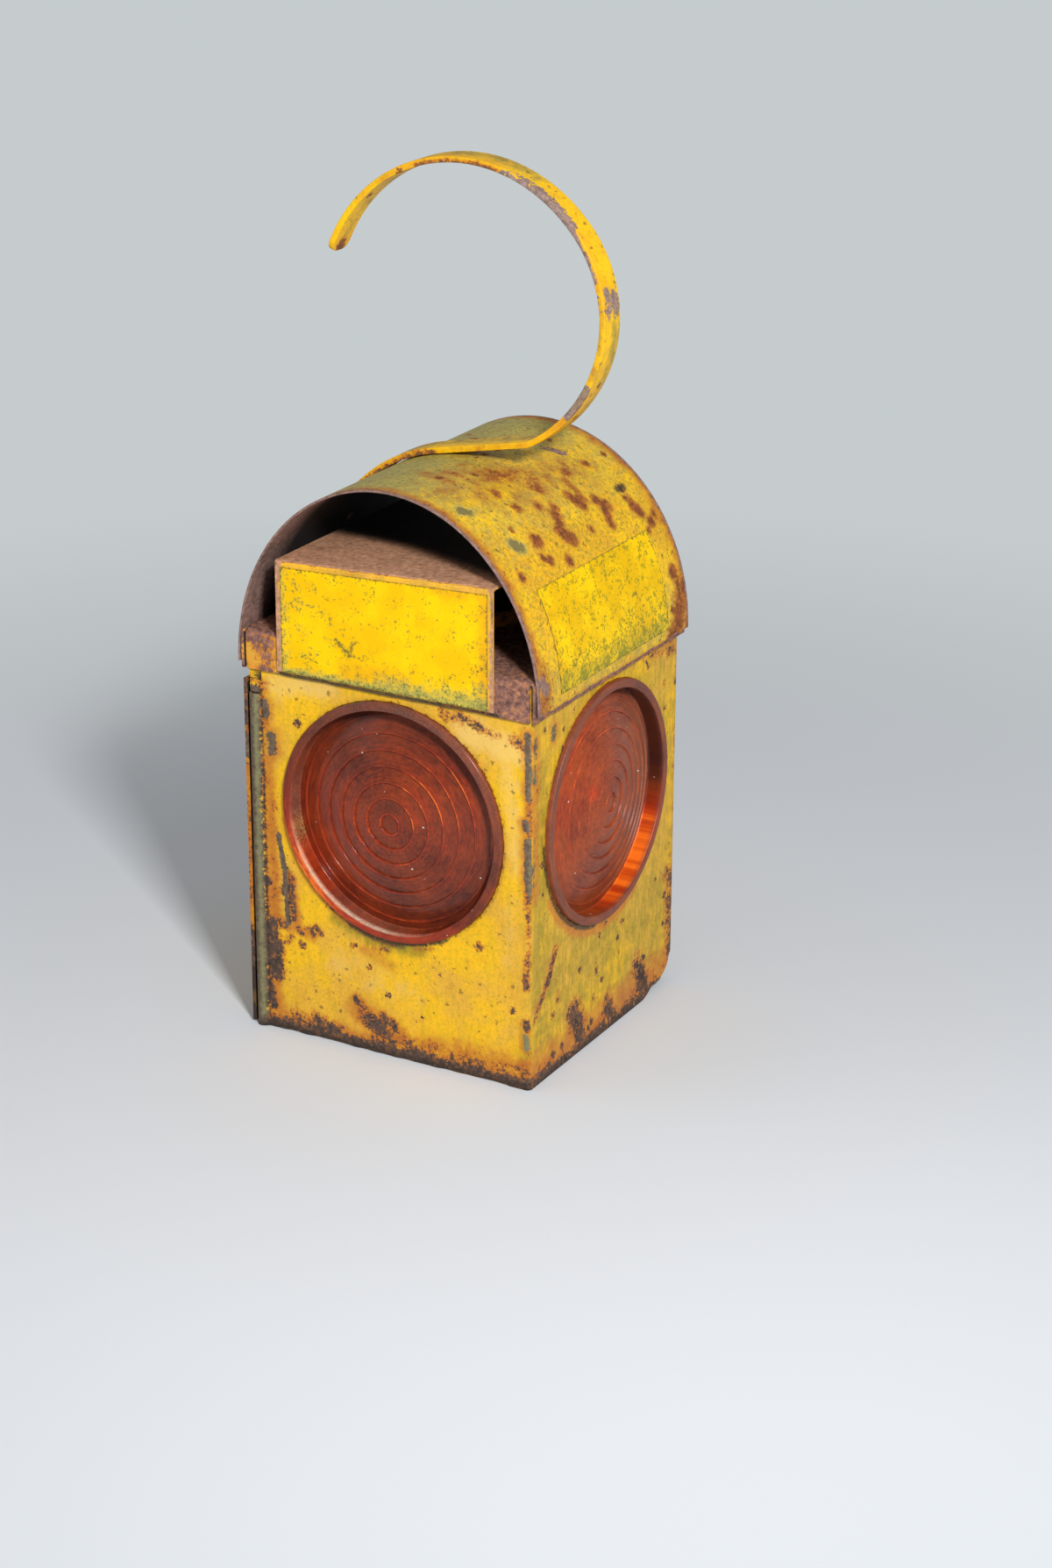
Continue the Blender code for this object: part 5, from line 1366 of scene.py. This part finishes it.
@dataclass
class Films:
    """The two adhesive reflective films, cut square with a knife and pressed on the baffle and the hood."""

    hood: Hood
    thick: float = 0.22 * MM
    pitch: float = 1.8 * MM
    side_inset: float = 2.9 * MM
    top_inset: float = 3.2 * MM
    lean: float = 4.8 * MM
    hood_front: float = -55.2 * MM
    hood_back: float = 54.2 * MM
    hood_low: float = 196.9 * MM
    hood_high: float = 245.0 * MM
    hood_levels: int = 34
    nibble: float = 0.3 * MM
    front_marks: tuple[Mark, ...] = tuple(lay({
        Wear.ALGAE: (
            (-56, -78, 190, 28, -78, 190, 8, 0.9), (0, -78, 191, 56, -78, 193, 14, 0.8),
            (-56, -78, 240, -54, -78, 196, 7, 0.5), (-46, -78, 232, -40, -78, 205, 22, 0.24),
            (52, -78, 200, 53, -78, 193, 9, 0.6)),
        Wear.RUST: (
            (57, -78, 246, 55, -78, 194, 10, 0.8), (-20, -78, 196, 10, -78, 198, 12, 0.5),
            (30, -78, 246, 56, -78, 247, 8, 0.5)),
        Wear.GRIME_AND_SHADE: (
            (-26, -78, 212, -19, -78, 205.5, 3.2, 0.8), (-19, -78, 205.5, -10, -78, 204.5, 2.6, 0.6),
            (-16, -78, 212, -18, -78, 207, 3, 0.7), (-41, -78, 204, -36, -78, 197, 2.8, 0.6),
            (37, -78, 205, 34, -78, 199, 2.6, 0.55), (47, -78, 206, 56, -78, 213, 2.4, 0.55))
    }))
    hood_marks: tuple[Mark, ...] = tuple(lay({
        Wear.ALGAE: (
            (82, -50, 200, 82, 54, 200, 17, 0.62), (81, 10, 204, 81, 40, 206, 18, 0.4)),
        Wear.RUST: ((72, -52, 240, 82, -54, 200, 8, 0.4),),
        Wear.GRIME_AND_SHADE: (
            (82, -43, 206, 81, -33, 211, 2.6, 0.7), (82, -45, 199, 82, -43, 206, 2.6, 0.7),
            (78, 22, 222, 78, 27, 222.5, 3.6, 0.8), (80, 21, 214, 80, 23, 211, 3.6, 0.8),
            (80, 31, 215, 80, 29, 211, 3.2, 0.8))
    }))

    def build(self, finishes: Finishes) -> None:
        """Make both films.

        Args:
            finishes: The materials.
        """
        self.stick("film_front", self.on_baffle(), finishes.film["front"], self.front_marks)
        self.stick("film_hood", self.on_hood(), finishes.film["hood"], self.hood_marks)

    def stick(self, name: str, rows: list[list[tuple[Vector, Vector]]], material: bpy.types.Material,
              marks: Iterable[Mark]) -> None:
        """Make one film, darkened along its cut edge.

        Args:
            name: The piece's name.
            rows: Its outer and inner points.
            material: Its finish.
            marks: Its worn places.
        """
        piece = new_piece(name, thick_sheet(rows), material, "lantern")
        worn = WearMap(piece)
        worn.mark(marks)
        across = len(rows[0])
        for row in range(len(rows)):
            for place in range(across):
                if row in (0, len(rows) - 1) or place in (0, across - 1):
                    first = 2 * (row * across + place)
                    worn.fields[Wear.GRIME_AND_SHADE][first:first + 2] = 0.75
        worn.write()

    def on_baffle(self) -> list[list[tuple[Vector, Vector]]]:
        """Return the points of the film on the baffle's front."""
        low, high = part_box("draught_baffle")
        left, right = low.x + self.side_inset, high.x - self.side_inset
        face = low.y + 0.02 * MM
        columns = round((right - left) / self.pitch)
        levels = round((high.z - low.z) / self.pitch)
        rows = []
        for level in range(levels + 1):
            row = []
            for column in range(columns + 1):
                x = left + (right - left) * column / columns
                top = high.z - self.top_inset - self.lean * (high.x - x) / (high.x - low.x)
                bottom = low.z + 0.3 * MM + self.nibble * noise.noise(Vector((x / (6 * MM), 1, 2)))
                z = bottom + (top - bottom) * level / levels
                row.append((Vector((x, face, z)), Vector((x, face + self.thick, z))))
            rows.append(row)
        return rows

    def on_hood(self) -> list[list[tuple[Vector, Vector]]]:
        """Return the points of the film on the hood's right flank."""
        ends = [-math.degrees(math.acos((z - self.hood.spring) / self.hood.rise))
                for z in (self.hood_low, self.hood_high)]
        columns = round((self.hood_back - self.hood_front) / self.pitch)
        top = self.hood.sheet / 2 - 0.01 * MM
        rows = []
        for level in range(self.hood_levels + 1):
            degrees = ends[0] + (ends[1] - ends[0]) * level / self.hood_levels
            outer = self.hood.arch(degrees, top)[0]
            inner = self.hood.arch(degrees, top - self.thick)[0]
            row = []
            for column in range(columns + 1):
                y = self.hood_front + (self.hood_back - self.hood_front) * column / columns
                row.append((Vector((outer.x, y, outer.y)), Vector((inner.x, y, inner.y))))
            rows.append(row)
        return rows


@dataclass
class Door:
    """The side door's sheet, its hemmed front edge showing beside the wired edge."""

    pitch: float = 2.8 * MM
    marks: tuple[Mark, ...] = tuple(lay({
        Wear.RUST: (
            (-80, -75, 184, -80, -75, 152, 8, 0.8), (-80, -75, 150, -80, -75, 60, 6, 0.45),
            (-80, -75, 50, -80, -75, 20, 9, 0.85), (-81, -70, 0, -81, 72, 0, 20, 1),
            (-81, -30, 80, -81, -20, 60, 34, 0.34), (-81, 40, 140, -81, 52, 110, 30, 0.32)),
        Wear.STAIN: ((-80, -75.2, 184, -80, -75.2, 30, 6, 0.7),),
        Wear.GRIME_AND_SHADE: ((-80, -75, 26, -80, -75, 0, 9, 1),),
        Wear.ALGAE: ((-81, 0, 150, -81, 10, 60, 110, 0.5),)
    }))

    def build(self, finishes: Finishes) -> None:
        """Make the door's sheet.

        Args:
            finishes: The materials.
        """
        piece = new_piece("door_sheet", fine_copy("door_panel", self.pitch), finishes.enamel, "door",
                          ["door_panel"])
        worn = WearMap(piece)
        worn.mark(self.marks)
        worn.edges(0.05)
        # Inner faces go near-black: sooty, and in painted shade.
        worn.inside((0, 0, 100), 0.8)
        worn.write()


class Studio:
    """Camera, lights, world and floor."""

    camera_place = Vector((771.5, -1322.4, 718.4)) * MM
    camera_back = Vector((0.45367, -0.81288, 0.36525))
    camera_roll = 0.22
    lens_mm = 76.13
    sky_colour = "#E4E8EC"
    sky_strength = 0.42
    lamps = (("key", 45.0, 31.0, 1.6, 0.2, 25.0), ("fill", -60.0, 25.0, 2.0, 1.6, 5.0))
    floor_half = 60.0
    floor_drop = 0.2 * MM
    floor_fade = (0.25, 0.95)

    def build(self) -> None:
        """Set the scene's camera, light and floor."""
        bpy.context.scene.view_settings.view_transform = "Standard"
        self.camera()
        self.sky()
        for lamp in self.lamps:
            self.lamp(*lamp)
        self.floor()

    def camera(self) -> None:
        """Set the camera where the photo was taken from."""
        scene = bpy.context.scene
        camera = bpy.data.cameras.new("camera")
        camera.lens = self.lens_mm
        camera.sensor_fit = "VERTICAL"
        camera.sensor_height = 36.0
        camera.clip_end = 200.0
        holder = bpy.data.objects.new("camera", camera)
        scene.collection.objects.link(holder)
        look = (-self.camera_back).to_track_quat("-Z", "Y").to_matrix().to_4x4()
        holder.matrix_world = (Matrix.Translation(self.camera_place) @ look
                               @ Matrix.Rotation(math.radians(self.camera_roll), 4, "Z"))
        scene.camera = holder

    def sky(self) -> None:
        """Set an even pale sky."""
        world = bpy.data.worlds.new("world")
        world.use_nodes = True
        bpy.context.scene.world = world
        sky = world.node_tree.nodes["Background"]
        sky.inputs["Color"].default_value = linear(self.sky_colour)
        sky.inputs["Strength"].default_value = self.sky_strength

    def floor(self) -> None:
        """Lay a pale floor that fades to an even tone away from the lantern."""
        mesh = bmesh.new()
        bmesh.ops.create_grid(mesh, x_segments=1, y_segments=1, size=self.floor_half)
        data = bpy.data.meshes.new("floor")
        mesh.to_mesh(data)
        mesh.free()
        floor = bpy.data.objects.new("floor", data)
        floor.location.z = -self.floor_drop
        bpy.context.scene.collection.objects.link(floor)
        material, tree, place = new_material("pale_floor")
        near = add(tree, "BsdfPrincipled", {"Base Color": linear("#D8DBDF"), "Roughness": 0.9})
        far = add(tree, "Emission", {"Color": linear("#C6CCCE"), "Strength": 1.0})
        away = add(tree, "VectorMath", {0: place}, "Value", operation="LENGTH")
        share = broken(tree, away, (), *self.floor_fade, soft=True)
        seen = add(tree, "LightPath", output="Is Camera Ray")
        seen = add(tree, "Math", {0: seen, 1: seen.node.outputs["Is Glossy Ray"]}, operation="MAXIMUM")
        share = add(tree, "Math", {0: share, 1: seen}, operation="MULTIPLY")
        shader = add(tree, "MixShader", {0: share, 1: near, 2: far})
        add(tree, "OutputMaterial", {"Surface": shader})
        data.materials.append(material)

    def lamp(self, name: str, azimuth: float, elevation: float, distance: float, size: float,
             power: float) -> None:
        """Hang one square soft lamp that looks at the lantern.

        Args:
            name: The lamp's name.
            azimuth: Degrees from the front towards the right.
            elevation: Degrees above the floor.
            distance: Metres from the lantern's middle.
            size: The side of the square in metres.
            power: Watts.
        """
        light = bpy.data.lights.new(name, "AREA")
        light.shape = "SQUARE"
        light.size = size
        light.energy = power
        holder = bpy.data.objects.new(name, light)
        across, up = math.radians(azimuth), math.radians(elevation)
        back = Vector((math.sin(across) * math.cos(up), -math.cos(across) * math.cos(up), math.sin(up)))
        holder.location = Vector((0, 0, 0.2)) + back * distance
        holder.rotation_euler = (-back).to_track_quat("-Z", "Y").to_euler()
        bpy.context.scene.collection.objects.link(holder)


def dress_frame(finishes: Finishes) -> None:
    """Give the frame nodes that stay their finishes, by the record's slots.

    Args:
        finishes: The materials.
    """
    by_slot = {"yellow_paint": finishes.enamel, "rusty_paint": finishes.enamel, "rusty_steel": finishes.rust,
               "bare_steel": finishes.wire, "red_lens": finishes.acrylic["front"],
               "tinplate": finishes.tinplate, "brass": finishes.brass, "cotton": finishes.cotton}
    for part in frame["record"]["subparts"]:
        node = frame["nodes"][part["node"]]
        for place in node.material_slots:
            place.material = by_slot[part["material_slot"]]
        LOG.info("frame node %s: %s", node.name, part["material_slot"])


def main() -> None:
    """Build the looks in order."""
    logging.basicConfig(level=logging.INFO)
    finishes = Finishes()
    dress_frame(finishes)
    Walls().build(finishes)
    hood = Hood()
    hood.build(finishes)
    Handle(hood).build(finishes)
    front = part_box("lens_front")
    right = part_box("lens_right")
    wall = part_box("body_shell")[1]
    middle = (front[0] + front[1]) / 2
    Lens("front", Vector((middle.x, FRONT_SEAT, middle.z)), Vector((0, -1, 0))).build(finishes)
    middle = (right[0] + right[1]) / 2
    Lens("right", Vector((wall.x, middle.y, middle.z)), Vector((1, 0, 0))).build(finishes)
    Cover().build(finishes)
    Films(hood).build(finishes)
    Door().build(finishes)
    Studio().build()


if __name__ == "__main__":
    main()
